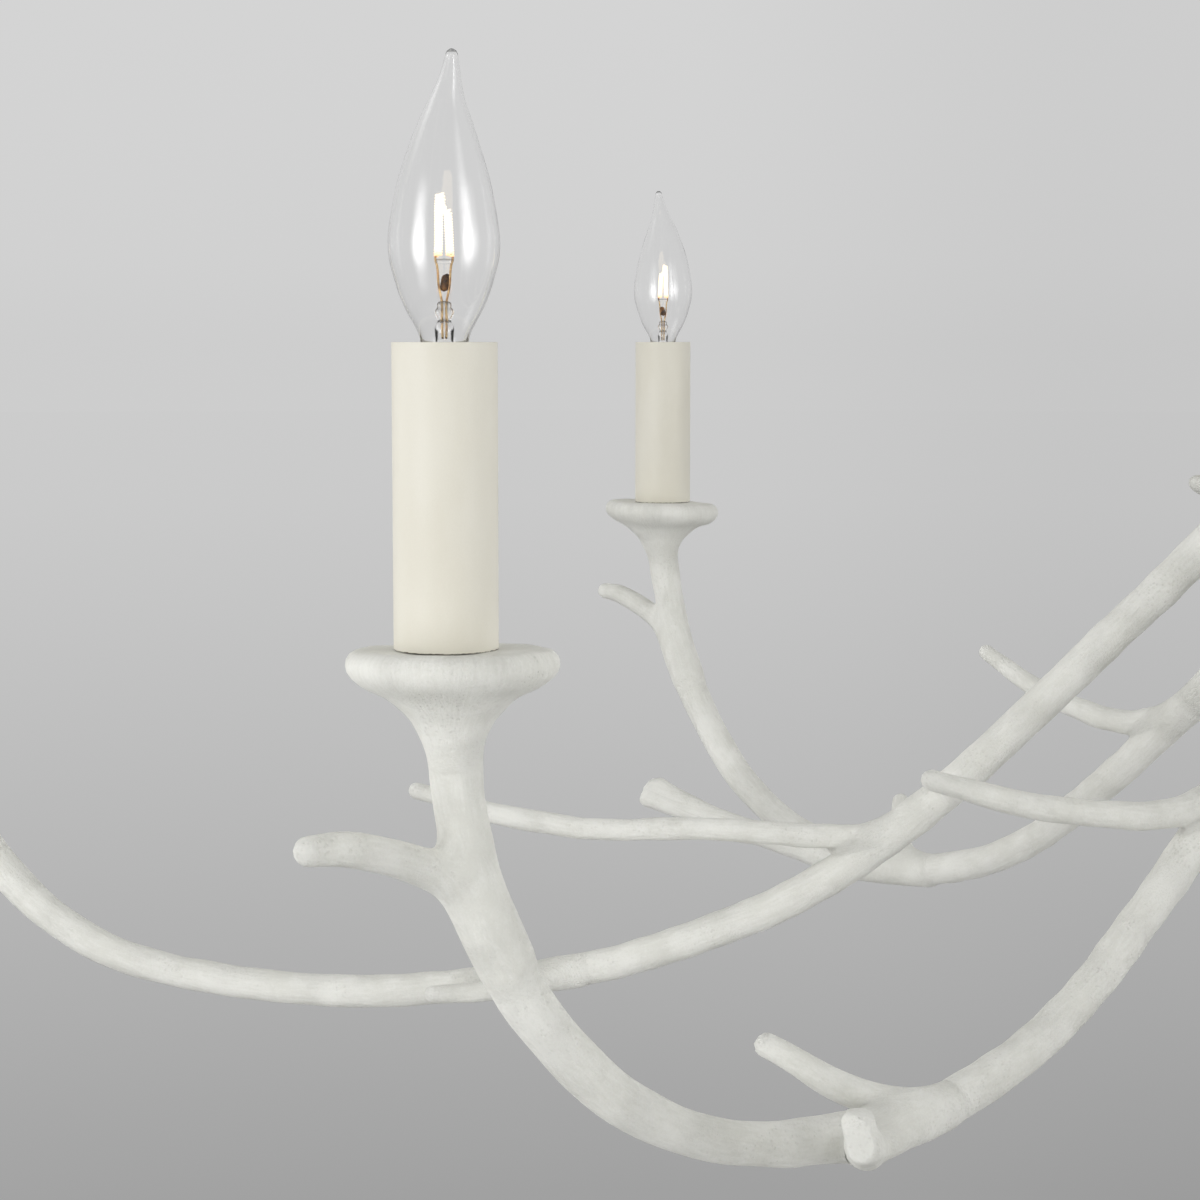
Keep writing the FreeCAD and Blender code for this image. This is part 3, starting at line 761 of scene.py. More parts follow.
short_twig_shares = {
    "cup twig": [
        (0.957, 0.000, 0.368, 1.10), (0.986, 0.000, 0.327, 1.14), (1.010, 0.001, 0.309, 1.14),
        (1.039, 0.002, 0.2967, 1.06), (1.068, 0.003, 0.2883, 1.04), (1.088, 0.003, 0.2858, 0.90),
        (1.1045, 0.004, 0.2850, 0.80),
    ],
    "near twig": [
        (0.583, 0.000, 0.530, 1.20), (0.622, -0.008, 0.522, 1.20), (0.655, -0.034, 0.507, 1.06),
        (0.669, -0.048, 0.4950, 0.94), (0.691, -0.0705, 0.479, 0.80),
    ],
    "side twig": [
        (0.583, 0.000, 0.532, 1.40), (0.634, 0.006, 0.536, 1.38), (0.6587, 0.010, 0.5400, 1.33),
        (0.696, 0.045, 0.5262, 1.20), (0.750, 0.097, 0.5020, 1.10), (0.798, 0.142, 0.4740, 1.00),
        (0.8264, 0.167, 0.4500, 0.92),
    ],
    "side twig heel": [
        (0.750, 0.097, 0.5040, 1.05), (0.790, 0.138, 0.4850, 0.97), (0.8268, 0.1731, 0.4670, 0.98),
    ],
    "upper twig": [
        (0.256, 0.000, 0.327, 1.20), (0.307, -0.002, 0.3476, 1.16), (0.3885, -0.010, 0.3476, 1.00),
        (0.470, -0.027, 0.333, 0.92), (0.554, -0.047, 0.307, 0.72),
    ],
}
long_twig_shares = {
    "cup twig": [
        (0.983, 0.000, 0.269, 1.10), (1.002, 0.000, 0.245, 1.12), (1.030, 0.002, 0.228, 1.02),
        (1.073, 0.003, 0.222, 0.72),
    ],
    "long twig": [
        (0.3125, 0.000, 0.294, 1.10), (0.3375, 0.000, 0.314, 1.12), (0.367, 0.000, 0.320, 1.06),
        (0.398, 0.000, 0.320, 1.00), (0.481, 0.000, 0.317, 0.94), (0.534, 0.000, 0.319, 0.92),
        (0.5875, 0.000, 0.3125, 0.90), (0.611, 0.000, 0.308, 0.86), (0.647, 0.000, 0.297, 0.74),
        (0.659, 0.000, 0.295, 0.66),
    ],
    "low twig": [
        (0.547, 0.000, 0.414, 1.04), (0.581, 0.0125, 0.420, 0.96), (0.617, 0.031, 0.423, 0.84),
        (0.642, 0.041, 0.422, 0.68),
    ],
}
for shares, twigs in ((short_branch_shares, short_twig_shares), (long_branch_shares, long_twig_shares)):
    print("branch of", len(shares), "rows with", ", ".join(twigs))

# %% [markdown]
# The cup is a turned saucer: a flat top, a thick rolled rim and a trumpet foot that narrows into
# the branch. On the short arms it isn't quite centred under the candle, as a casting never is, and
# every cup's rim stands about a millimetre higher on one side. The fork under the cup is filled
# more than the others, and the side twig ends in a slanting cut with a long oval face.

# %% Cup outline and sizes of the casting
cup_radius = 30.7 * MM
cup_shares = [
    (0.000, 0.000), (0.800, 0.003), (0.900, 0.010), (0.955, 0.040), (0.990, 0.090), (1.000, 0.145),
    (0.990, 0.205), (0.955, 0.260), (0.895, 0.315), (0.820, 0.360), (0.735, 0.395), (0.660, 0.430),
    (0.590, 0.475), (0.525, 0.530), (0.460, 0.590), (0.395, 0.665), (0.335, 0.780), (0.270, 0.920),
    (0.190, 1.080), (0.000, 1.120),
]
short_cup_shift_shares = (-0.036, 0.049)
long_cup_shift_shares = (0.0, 0.0)
rim_lean_shares = (0.023, 0.033)
flat_seat_radius = 16.0 * MM
melt_reach = 3.6 * MM
fork_reach = 8.5 * MM
cut_outward = np.array([0.896, 0.322, 0.305])
cut_depth_share = 0.15
cup_melt_reach = 2.0 * MM
spigot_melt_reach = 0.2 * MM
branch_points, twig_points = 110, 26
dome_share = 0.85
lean_fade = 0.3 * cup_radius
end_full_share, end_fade_share = 1.35, 1.3
overrun = 1.0 * MM
spigot_radius = 5.0 * MM
spigot_length = 18.0 * MM
nipple_hole_radius = 4.93 * MM
nipple_hole_depth = 6.0 * MM
boss_direction = np.array([1.0, 0.0, -1.0]) / np.sqrt(2)
cup_depth = cup_shares[-1][1] * cup_radius
print("cup in mm", round(2 * cup_radius / MM, 1), "wide,", round(cup_depth / MM, 1), "deep")

# %% [markdown]
# The arm's field is put together in the order of the casting: branch, twigs, cup, then the flat
# seat at the hub, the spigot that goes into it and the hole for the candle's nipple.


# %% The melted arm
def branch_rows(shares, reach, radius, count, domed=0.0):
    """A table's rows as centre points and radii in metres, joined by a smooth line. A domed end
    is drawn back along the line by a share of its radius, because a ball stands on it."""
    table = np.array(shares)
    places = np.column_stack([table[:, 0] * reach, table[:, 1] * reach,
                              candle_line - table[:, 2] * reach, table[:, 3] * radius])
    line = smooth_line(places, count)
    passed = passed_along(line[:, :3])
    kept = np.linspace(0, passed[-1] - domed * line[-1, 3], count)
    return np.column_stack([np.interp(kept, passed, column) for column in line.T])


def leaning(field, centre, lean):
    """A field whose rim is lifted on one side. The lift is the lean times the way out from the
    centre, and it fades in outside the candle's flat seat: space is slid down by it."""
    def leant(p):
        flat = p[:, :2] - centre[:2]
        ring = np.linalg.norm(flat, axis=1)
        fade = np.clip((ring - flat_seat_radius) / lean_fade, 0, 1)
        slid = p.copy()
        slid[:, 2] -= flat @ lean * fade
        return field(slid)

    return leant


def arm_field(reach, branch_shares, twig_shares, cup_shift_shares):
    """Branch, twigs and cup melted together, sawn flat at the hub, with the spigot that goes
    into the hub and the hole for the candle's nipple."""
    branch = branch_rows(branch_shares, reach, branch_radius, branch_points)
    field = chain(branch)
    for name, shares in twig_shares.items():
        rows = branch_rows(shares, reach, twig_radius, twig_points, dome_share)
        twig = chain(rows)
        if name == "side twig":
            cut_point = rows[-1, :3] + cut_depth_share * rows[-1, 3] * cut_outward
        if name.startswith("side twig"):
            twig = trim(twig, cut_point, cut_outward)
        field = melt(field, twig, fork_reach if name == "cup twig" else melt_reach)
    profile = np.array(cup_shares) * cup_radius * [1, -1]
    shift = np.array([*cup_shift_shares, 0.0]) * cup_radius
    cup_centre = np.array([reach, 0.0, cup_top]) + shift
    cup = leaning(spun(profile, cup_centre), cup_centre, np.array(rim_lean_shares))
    field = melt(field, cup, cup_melt_reach)
    seat = branch[-1, :3]
    field = trim(field, seat, -boss_direction)
    inner_end = seat - spigot_length * boss_direction
    spigot = rod(inner_end, seat + spigot_radius * boss_direction, spigot_radius)
    field = melt(field, spigot, spigot_melt_reach)
    hole_top = np.array([reach, 0.0, cup_top + overrun])
    hole_foot = np.array([reach, 0.0, cup_top - nipple_hole_depth])
    return carve(field, rod(hole_top, hole_foot, nipple_hole_radius))


def end_nearness(points, reach, twig_shares):
    """1 round a twig's end, falling to 0 nine millimetres away: broken ends are the roughest, and the
    plaster is painted lighter there as a highlight.
    """
    nearness = np.zeros(len(points))
    for shares in twig_shares.values():
        out, side, down, _ = shares[-1]
        end = np.array([out * reach, side * reach, candle_line - down * reach])
        away = np.linalg.norm(points - end, axis=1)
        near = np.clip(end_full_share - away / (end_fade_share * twig_radius), 0, 1)
        nearness = np.maximum(nearness, near)
    return nearness


branch_line = branch_rows(short_branch_shares, candles[0]["reach"], branch_radius, branch_points)
print("short branch", round(passed_along(branch_line[:, :3])[-1] / MM), "mm long from cup to hub")

# %% [markdown]
# Eight arms from two
#
# Both kinds are grown once. Each is then set down four times round the hub, a quarter turn apart.
# Every point carries its grain and its nearness to a twig's end, for the plaster to read. Small
# balls along the heel widen the seed there, because the solid's side twig is slimmer.

# %% Grow both kinds of arm and set them round the hub
ARM_VOXEL = 1.1 * MM
arm_kinds = {
    "short_arm": (candles[0], short_branch_shares, short_twig_shares, short_cup_shift_shares),
    "long_arm": (candles[1], long_branch_shares, long_twig_shares, long_cup_shift_shares),
}
for kind, (first, branch_shares, twig_shares, cup_shift_shares) in arm_kinds.items():
    field = arm_field(first["reach"], branch_shares, twig_shares, cup_shift_shares)
    balls = []
    if "side twig heel" in twig_shares:
        heel = branch_rows(twig_shares["side twig heel"], first["reach"], twig_radius, twig_points)
        balls = list(heel[::2])
    points, faces, grain = grown(kind + "_1", field, ARM_VOXEL, first["heading"], True, balls)
    near_end = end_nearness(points, first["reach"], twig_shares)
    for copy in range(CANDLES // 2):
        candle = candles[2 * copy + (kind == "long_arm")]
        node = kind + "_" + str(copy + 1)
        shape = (turn(points, candle["heading"]), faces)
        arm = piece("cast_" + node, shape, brushed_plaster, node)
        attribute = arm.data.attributes.new("grain", "FLOAT_VECTOR", "POINT")
        attribute.data.foreach_set("vector", grain.astype(np.float32).ravel())
        # Nearness to a twig's end roughens the plaster there and lifts its tone, a painted highlight.
        attribute = arm.data.attributes.new("rough_end", "FLOAT", "POINT")
        attribute.data.foreach_set("value", near_end.astype(np.float32))
    print(kind, len(points), "points", len(faces[0]), "faces")

# %% [markdown]
# Sleeves
#
# The candle is a card or resin tube with a dull ivory coat. It is a closed loop of a profile:
# down the outside, up the inside, both lips rounded. The rounded lip and a painted band of shade
# and dirt along the foot leave a thin dark line where it stands on the cup.

# %% Ivory sleeves
IVORY = (0.80, 0.775, 0.685)
IVORY_DEEP = (0.755, 0.725, 0.625)
# The brown of the sleeve's foot: painted shade and dirt where it stands on the cup.
SEAM_DIRT_AND_SHADE = (0.10, 0.08, 0.05)
sleeve_wall = 1.6 * MM
lip_radius = 0.25 * MM
dirt_and_shade_low, dirt_and_shade_high = cup_top - 0.30 * MM, cup_top - 0.02 * MM


def ivory():
    """Two ivories, mixed by a drift that is stretched down the tube and by fine specks, with a thin
    brown band along the foot, painted shade and dirt where it meets the cup, whose edge a noise
    makes uneven."""
    finish = Finish("ivory_coat")
    place = finish.place()
    drift = finish.noise(finish.stretched(place, (1.0, 1.0, 0.35)), 55.0, 3.0)
    speck = finish.noise(place, 1900.0, 2.0, 0.6)
    colour = finish.mix(finish.rise(drift * 0.8 + speck * 0.2, 0.3, 0.7), IVORY_DEEP, IVORY)
    height = finish.part(place, 2)
    chips = finish.noise(place, 700.0, 3.0, 0.7)
    # A thin band at the foot, darkened as painted shade and dirt where the sleeve meets the cup.
    seam_dirt_and_shade = 1 - finish.rise(height - chips * 0.7 * MM, dirt_and_shade_low, dirt_and_shade_high)
    colour = finish.mix(seam_dirt_and_shade, colour, SEAM_DIRT_AND_SHADE)
    normal = finish.bump(speck + drift * 2.0, 0.03 * MM)
    return finish.surface({"Base Color": colour, "Roughness": 0.38 + speck * 0.2, "Normal": normal,
                           "Specular IOR Level": 0.4})


ivory_coat = ivory()
sleeve_profile = [(sleeve_radius, candle_line), (sleeve_radius, cup_top)]
for candle in candles:
    number = str(candle["number"])
    shape = spun_tube(sleeve_profile, sleeve_radius - sleeve_wall, lip_radius, candle["axis"], 96)
    piece("sleeve_" + number, shape, ivory_coat, "candle_sleeve_" + number)
print("sleeves", len(candles))

# %% [markdown]
# Lampholders
#
# Inside each sleeve a black moulded holder stands on a threaded nipple. From above its rim shows
# round the bulb's neck, so it gets a rounded rim, a bore and a faint mottled sheen.

# %% Lampholders
barrel_low, barrel_high = corners("lampholders")
first_base_low, first_base_high = corners("bulb_base_1")
base_radius = float(first_base_high[0] - first_base_low[0]) / 2
base_foot, base_top = float(first_base_low[2]), float(first_base_high[2])
barrel_radius = 11.0 * MM
barrel_top, barrel_foot = float(barrel_high[2]), float(barrel_low[2])
bore_gap = 0.3 * MM
axis_gap = 0.02 * MM
barrel_edge = 0.6 * MM


def phenolic():
    """Near black, a little paler and rougher where a noise is high."""
    finish = Finish("black_moulding")
    place = finish.place()
    mottle = finish.noise(place, 320.0, 4.0, 0.6)
    colour = finish.mix(mottle, (0.012, 0.012, 0.013), (0.035, 0.033, 0.032))
    normal = finish.bump(mottle, 0.05 * MM)
    return finish.surface({"Base Color": colour, "Roughness": 0.28 + mottle * 0.25, "Normal": normal})


black_moulding = phenolic()
bore = base_radius + bore_gap
barrel = [(axis_gap, barrel_foot), (barrel_radius, barrel_foot), (barrel_radius, barrel_top),
          (bore, barrel_top), (bore, base_foot - bore_gap), (axis_gap, base_foot - bore_gap)]
barrels = [turned(soften(barrel, barrel_edge), candle["axis"], 40) for candle in candles]
piece("holder_barrels", joined(barrels), black_moulding, "lampholders")
print("holders", len(barrels), "bore in mm", round(bore / MM, 2))

# %% [markdown]
# Bulbs
#
# A bulb is a flame-shaped envelope drawn out to a bent tip and sealed with a small bead. The
# glass is a closed wall: an outer surface, an inner one set in by the wall, joined at the neck.
# With real walls the glass shader bends light only where the wall is steep, so the middle stays
# clear and the outline draws itself.

# %% Glass
_, glass_high = corners("bulb_glass_7")
glass_radius = 15.8 * MM
glass_height = float(glass_high[2]) - candle_line
glass_wall = 0.6 * MM
tip_bend = 2.4 * MM
bulb_heading_degrees = [200.0, 95.0, 320.0, 30.0, 231.0, 150.0, 51.0, 240.0]

glass_shares = [
    (0.415, -0.040, 0.00), (0.420, -0.010, 0.00), (0.455, 0.020, 0.00), (0.700, 0.111, 0.00),
    (0.890, 0.210, 0.00), (0.972, 0.270, 0.00), (1.000, 0.341, 0.00), (0.938, 0.435, 0.00),
    (0.838, 0.529, 0.03), (0.724, 0.604, 0.06), (0.588, 0.681, 0.14), (0.452, 0.750, 0.26),
    (0.352, 0.796, 0.38), (0.266, 0.840, 0.58), (0.200, 0.882, 0.80), (0.150, 0.920, 0.94),
    (0.122, 0.943, 1.00), (0.112, 0.955, 1.02), (0.086, 0.967, 1.04), (0.030, 0.9745, 1.04),
]
least_radius = 0.05 * MM
glass_rows = 100
glass_around = 64
cavity_rows = 98
cavity_top_share = 0.967
cavity_dome_share = 0.022
thinnest_share = 0.3


def drawn(rows, inset, around, heading, centre):
    """Rings round a bending axis: each row is a radius, a height and how far the axis leans."""
    radius = np.maximum(rows[:, :1] - inset, least_radius)
    rings = circles(radius, rows[:, 1:2], angles(around))
    rings[..., 0] += rows[:, 2:3]
    return turn(rings, heading) + centre


def envelope(heading, centre):
    """The outer rings from the tip down, then the inner rings from the neck up to the cavity's
    end, so one skin closes at two poles and is a wall all the way. The cavity closes in a dome:
    its radius is multiplied by the root of 1 - t squared, t growing from 0 to 1."""
    table = np.array(glass_shares)
    places = np.column_stack([table[:, 0] * glass_radius, table[:, 1] * glass_height + candle_line,
                              table[:, 2] * tip_bend])
    line = smooth_line(places, glass_rows)
    low = line[:cavity_rows]
    risen = (low[:, 1:2] - candle_line) / glass_height
    t = np.clip((risen - cavity_top_share) / cavity_dome_share + 1, 0, 1)
    cavity = (low[:, :1] - np.minimum(glass_wall, thinnest_share * low[:, :1])) * np.sqrt(1 - t ** 2)
    outer = drawn(line[::-1], 0.0, glass_around, heading, centre)
    inner = drawn(low, low[:, :1] - cavity, glass_around, heading, centre)
    return skin(np.concatenate([outer, inner]))


def clear_glass():
    """Light goes all the way through, and a faint long ripple tilts the surface."""
    finish = Finish("clear_glass")
    place = finish.place()
    ripple = finish.noise(finish.stretched(place, (1.0, 1.0, 0.4)), 90.0, 2.0)
    normal = finish.bump(ripple, 0.05 * MM)
    return finish.surface({"Base Color": (1.0, 1.0, 1.0), "Roughness": 0.0, "IOR": 1.48,
                           "Transmission Weight": 1.0, "Normal": normal})


bulb_clear = clear_glass()
for candle, degrees in zip(candles, bulb_heading_degrees):
    number = str(candle["number"])
    shape = envelope(np.radians(degrees), candle["axis"])
    piece("glass_" + number, shape, bulb_clear, "bulb_glass_" + number)
print("glass height in mm", round(glass_height / MM, 1))

# %% [markdown]
# What stands inside a bulb
#
# A glass tube rises from the base and is pressed flat at its top, where two nickel wires come
# out. A small glass bead keeps them apart, and between their hooks stands the filament, a coil
# wound so finely that it glows as one white ribbon, bent up into a narrow peak.

# %% Sizes of the mount
stem_wall = 0.45 * MM
tube_top = candle_line + 5.4 * MM
press_top = candle_line + 11.6 * MM
bead_height = candle_line + 22.6 * MM
coil_foot = candle_line + 24.0 * MM
coil_peak = candle_line + 41.2 * MM
coil_shoulder = candle_line + 36.8 * MM
wire_radius = 0.33 * MM
coil_radius = 1.0 * MM
strand_radius = 0.3 * MM
strand_pitch = 0.72 * MM
flag_width, flag_height, flag_thickness = 2.8 * MM, 5.0 * MM, 0.3 * MM
flag_foot = press_top + 2.6 * MM
flag_aside, flag_ahead, flag_lean, flag_curl = 0.3 * MM, 0.5 * MM, 0.9 * MM, 0.7 * MM
bead_half, bead_radius = 2.7 * MM, 0.75 * MM


def tube_along(path, radius, around):
    """Rings carried along a path. The first side is square to the path and each next one is the
    same side leaned onto the new direction, so the tube doesn't twist."""
    path = np.asarray(path, float)
    along = np.gradient(path, axis=0)
    along /= np.linalg.norm(along, axis=1, keepdims=True)
    helper = np.array([0.0, 1.0, 0.0])
    side = np.cross(along, np.cross(helper, along))
    side /= np.maximum(np.linalg.norm(side, axis=1, keepdims=True), 1e-9)
    other = np.cross(along, side)
    angle = angles(around)[:, None]
    rings = side[:, None] * np.cos(angle) + other[:, None] * np.sin(angle)
    return path[:, None] + rings * radius


print("filament from", round((coil_foot - candle_line) / MM, 1), "to",
      round((coil_peak - candle_line) / MM, 1), "mm above the sleeve")

# %% [markdown]
# The tube was pinched while soft: its round section turns into a flat oval with a waist and a
# bulge, where the two wires are sealed in. The bead and a dark brown strip sit on the wires. Strip
# and bead are small grids of ovals and circles.

# %% Stem, wires, strip and bead
stem_outer = np.array([(4.6, 4.6, base_top + bore_gap), (3.2, 3.2, base_top + 1.6 * MM),
                       (2.55, 2.55, base_top + 3.4 * MM), (2.5, 2.5, tube_top - 0.6 * MM),
                       (1.9, 1.5, tube_top + 0.5 * MM), (2.0, 1.2, tube_top + 1.3 * MM),
                       (2.6, 1.2, tube_top + 2.4 * MM), (2.65, 1.1, tube_top + 3.6 * MM),
                       (2.0, 1.0, tube_top + 4.4 * MM), (2.1, 0.9, tube_top + 5.2 * MM),
                       (1.5, 0.6, press_top - 0.3 * MM), (0.3, 0.12, press_top)]) * [MM, MM, 1.0]
stem_inner_end = [(0.9 * MM, 0.7 * MM, tube_top + 0.2 * MM), (0.1 * MM, 0.1 * MM, tube_top + 0.5 * MM)]


def pressed_stem():
    """Ovals x = a cos(angle), y = b sin(angle) at heights z: down the outside, then up the inside
    as far as the pinch. A row of the table is a, b and z."""
    angle = angles(28)
    inner = np.vstack([stem_outer[:4] - [stem_wall, stem_wall, 0.0], stem_inner_end])
    rows = np.concatenate([smooth_line(stem_outer, 46)[::-1], inner])
    rings = circles(rows[:, :1], rows[:, 2:3], angle)
    rings[..., 1] = rows[:, 1:2] * np.sin(angle)
    return skin(rings)


def lead_wires():
    """Two wires that come up through the press, spread apart and hook over at the coil's ends."""
    wires = []
    for side in (-1, 1):
        places = np.array([(0.5, tube_top - 4 * MM), (0.6, tube_top), (0.7, press_top),
                           (1.5, press_top + 4 * MM), (2.3, bead_height), (2.5, coil_foot - 0.4 * MM),
                           (1.9, coil_foot + 0.5 * MM)])
        path = np.column_stack([side * places[:, 0] * MM, np.zeros(len(places)), places[:, 1]])
        wires.append(skin(tube_along(smooth_line(path, 30), wire_radius, 8)))
    return joined(wires)


def getter_flag():
    """A thin curled dark brown strip on the right wire. Its
    section is a flat oval that leans with the wire, and its edges curl by the square of the
    cosine. Its half width is the root of 1 - |2t - 1| to the fifth, t from 0 to 1 up the strip."""
    angle = angles(20)
    t = np.linspace(0, 1, 12)[:, None]
    half = flag_width / 2 * np.sqrt(np.clip(1 - np.abs(2 * t - 1) ** 5, 0.01, 1))
    rings = circles(half, flag_foot + t * flag_height, angle)
    rings[..., 0] += flag_aside + flag_lean * (t - 0.5)
    rings[..., 1] = flag_ahead + flag_thickness * np.sin(angle) + flag_curl * np.cos(angle) ** 2
    return skin(rings)


def glass_bead():
    """A short rod of glass across the wires, blunt at both ends: its radius is the sine of t to
    the power 0.6, t from 0 to pi along it."""
    t = np.linspace(0, np.pi, 13)[:, None]
    radius = bead_radius * np.sin(t) ** 0.6 + axis_gap
    rings = np.roll(circles(radius, -bead_half * np.cos(t), angles(16)), 1, axis=-1)
    return skin(rings + up * bead_height)


print("stem", len(pressed_stem()[0]), "points, wires", len(lead_wires()[0]), "points")

# %% [markdown]
# The filament is a wire wound into a coil, and the coil is bent into a tall narrow peak with a
# shoulder. First comes the axis of the coil, and the wire then winds round it.


# %% Coil
def coil_axis():
    """Up the left leg to the peak, down to the shoulder of the right leg and down again."""
    places = np.array([(-1.7, coil_foot), (-1.45, coil_foot + 8 * MM), (-1.3, coil_peak - 1.2 * MM),
                       (-1.1, coil_peak), (-0.75, coil_peak - 1.2 * MM), (-0.1, coil_shoulder),
                       (0.6, coil_shoulder - 0.1 * MM), (1.2, coil_shoulder - 1.8 * MM),
                       (1.45, coil_foot + 6 * MM), (1.7, coil_foot)])
    return np.column_stack([places[:, 0] * MM, np.zeros(len(places)), places[:, 1]])


def coil():
    """A helix round the axis: turns = length / pitch, offset = radius (cos, sin) of the angle in
    the plane square to the axis."""
    axis = smooth_line(coil_axis(), 500)
    passed = passed_along(axis)
    along = np.gradient(axis, axis=0)
    along /= np.linalg.norm(along, axis=1, keepdims=True)
    side = np.tile([0.0, 1.0, 0.0], (len(axis), 1))
    other = np.cross(along, side)
    angle = 2 * np.pi * passed / strand_pitch
    path = axis + coil_radius * (side * np.cos(angle)[:, None] + other * np.sin(angle)[:, None])
    return skin(tube_along(path, strand_radius, 5))


coil_length = passed_along(smooth_line(coil_axis(), 500))[-1]
print("coil", round(coil_length / MM, 1), "mm long,", round(coil_length / strand_pitch), "turns")

# %% [markdown]
# The wires are nickel with a warm tarnish, the strip is dark brown, and the coil glows white
# with a redder foot, where the wires cool it. The wires replace the frame's filament; stem, bead,
# strip and coil ride on the same body as they do.


# %% Finishes and pieces inside the bulb
def moved(shape, heading, centre):
    """A shape turned by a heading and set down on a candle's axis."""
    points, faces = shape
    return turn(points, heading) + centre, faces


def nickel():
    """Bare metal that a noise takes from brown tarnish to warm nickel."""
    finish = Finish("nickel_wire")
    place = finish.place()
    tarnish = finish.noise(place, 500.0, 3.0)
    colour = finish.mix(finish.rise(tarnish, 0.35, 0.65), (0.30, 0.17, 0.08), (0.80, 0.58, 0.30))
    return finish.surface({"Base Color": colour, "Metallic": 1.0, "Roughness": 0.25 + tarnish * 0.3})


def browned():
    """Half a metal, and a noise takes it from near black to lighter brown."""
    finish = Finish("browned_strip")
    place = finish.place()
    blotch = finish.noise(place, 420.0, 3.0)
    colour = finish.mix(finish.rise(blotch, 0.35, 0.65), (0.045, 0.018, 0.006), (0.34, 0.15, 0.04))
    return finish.surface({"Base Color": colour, "Metallic": 0.35, "Roughness": 0.35 + blotch * 0.3})


def glowing():
    """Emission that rises from orange at the coil's foot to a warm white; a noise makes the
    border between them uneven."""
    finish = Finish("glowing_coil")
    place = finish.place()
    height = finish.part(place, 2)
    flicker = finish.noise(place, 900.0, 2.0)
    heat = finish.rise(height + flicker * 0.8 * MM, coil_foot - 0.6 * MM, coil_foot + 2.6 * MM)
    light = finish.mix(heat, (1.0, 0.42, 0.12), (1.0, 0.84, 0.60))
    return finish.surface({"Base Color": (0.3, 0.28, 0.26), "Roughness": 0.6,
                           "Emission Color": light, "Emission Strength": 1.5})


nickel_wire = nickel()
browned_strip = browned()
glowing_coil = glowing()
inside = {
    "stem": (pressed_stem(), bulb_clear, "clear_glass"),
    "bead": (glass_bead(), bulb_clear, "clear_glass"),
    "wires": (lead_wires(), nickel_wire, "filament_mount"),
    "flag": (getter_flag(), browned_strip, "filament_mount"),
    "coil": (coil(), glowing_coil, "filament_mount"),
}
for candle, degrees in zip(candles, bulb_heading_degrees):
    number = str(candle["number"])
    for name, (shape, finish, slot) in inside.items():
        placed = moved(shape, np.radians(degrees), candle["axis"])
        if name == "wires":
            piece("filament_wires_" + number, placed, finish, "bulb_filament_" + number)
        else:
            piece("filament_" + name + "_" + number, placed, finish, body="bulb_" + number)
print("pieces inside each bulb", list(inside))

# %% [markdown]
# Screw bases
#
# The base is a brass shell rolled into a thread, a black glass insulator and a solder contact.
# The thread is one formula: the radius swells with the cosine of the angle less one whole turn
# for each pitch of height, so the crest climbs as it goes round.

# %% Bases
thread_pitch = 2.54 * MM
thread_depth = 0.42 * MM
base_length = base_top - base_foot
thread_start, thread_end, thread_fade = 0.27, 0.90, 0.05
shell_line, contact_line, line_blur = 0.23, 0.08, 0.005
base_shares = [(0.02, 0.0), (0.36, 0.0), (0.42, 0.03), (0.42, 0.07), (0.50, 0.10), (0.86, 0.22),
               (0.94, 0.25), (0.99, 0.28), (1.0, 0.34), (1.0, 0.94), (0.98, 1.0), (0.02, 1.0)]


def screw_base(heading, centre):
    """Radius from the profile, less a depth times (1 - cos(angle - 2 pi height / pitch)) / 2,
    faded out at both ends of the thread."""
    profile = np.array(base_shares)
    steps = passed_along(profile * [0.4, 1.0])
    passed = np.linspace(0, 1, 130) * steps[-1]
    radius = np.interp(passed, steps, profile[:, 0])[:, None] * base_radius
    share = np.interp(passed, steps, profile[:, 1])[:, None]
    height = share * base_length
    angle = angles(56)
    fade = np.clip((share - thread_start) / thread_fade, 0, 1)
    fade = fade * np.clip((thread_end - share) / thread_fade, 0, 1)
    groove = thread_depth * fade * (1 - np.cos(angle - 2 * np.pi * height / thread_pitch)) / 2
    rings = circles(radius - groove, height + base_foot, angle)
    return skin(turn(rings, heading) + centre)


def brass():
    """Three bands by height: solder below the contact line, black glass up to the
    shell line, and brass above it, tarnished by a noise."""
    finish = Finish("brass_base")
    place = finish.place()
    height = finish.part(place, 2)
    tarnish = finish.noise(place, 260.0, 4.0)

    def above(share):
        """1 above a share of the base's length and 0 below it."""
        low, high = (share - line_blur) * base_length, (share + line_blur) * base_length
        return finish.rise(height, base_foot + low, base_foot + high)

    shell = above(shell_line)
    contact = 1 - above(contact_line)
    metal = finish.mix(tarnish, (0.58, 0.40, 0.16), (0.80, 0.62, 0.32))
    colour = finish.mix(shell, (0.02, 0.02, 0.025), metal)
    colour = finish.mix(contact, colour, (0.62, 0.62, 0.60))
    inputs = {"Base Color": colour, "Metallic": finish.rise(shell + contact, 0.2, 0.8),
              "Roughness": 0.2 + tarnish * 0.3, "Normal": finish.bump(tarnish, 0.03 * MM)}
    return finish.surface(inputs)


brass_base = brass()
for candle, degrees in zip(candles, bulb_heading_degrees):
    number = str(candle["number"])
    shape = screw_base(np.radians(degrees), candle["axis"])
    piece("screw_base_" + number, shape, brass_base, "bulb_base_" + number)
thread_length = (thread_end - thread_start) * base_length
print("bases", len(candles), "with", round(thread_length / thread_pitch, 1), "turns of thread")

# %% [markdown]
# The hub
#
# The trunk is a hollow turned body with a slanting boss for each arm, all one casting again, so
# it grows from a field like the arms. Its bores and the holes of its set screws are carved out of
# the field, and each boss is sawn off flat where its arm's seat comes.

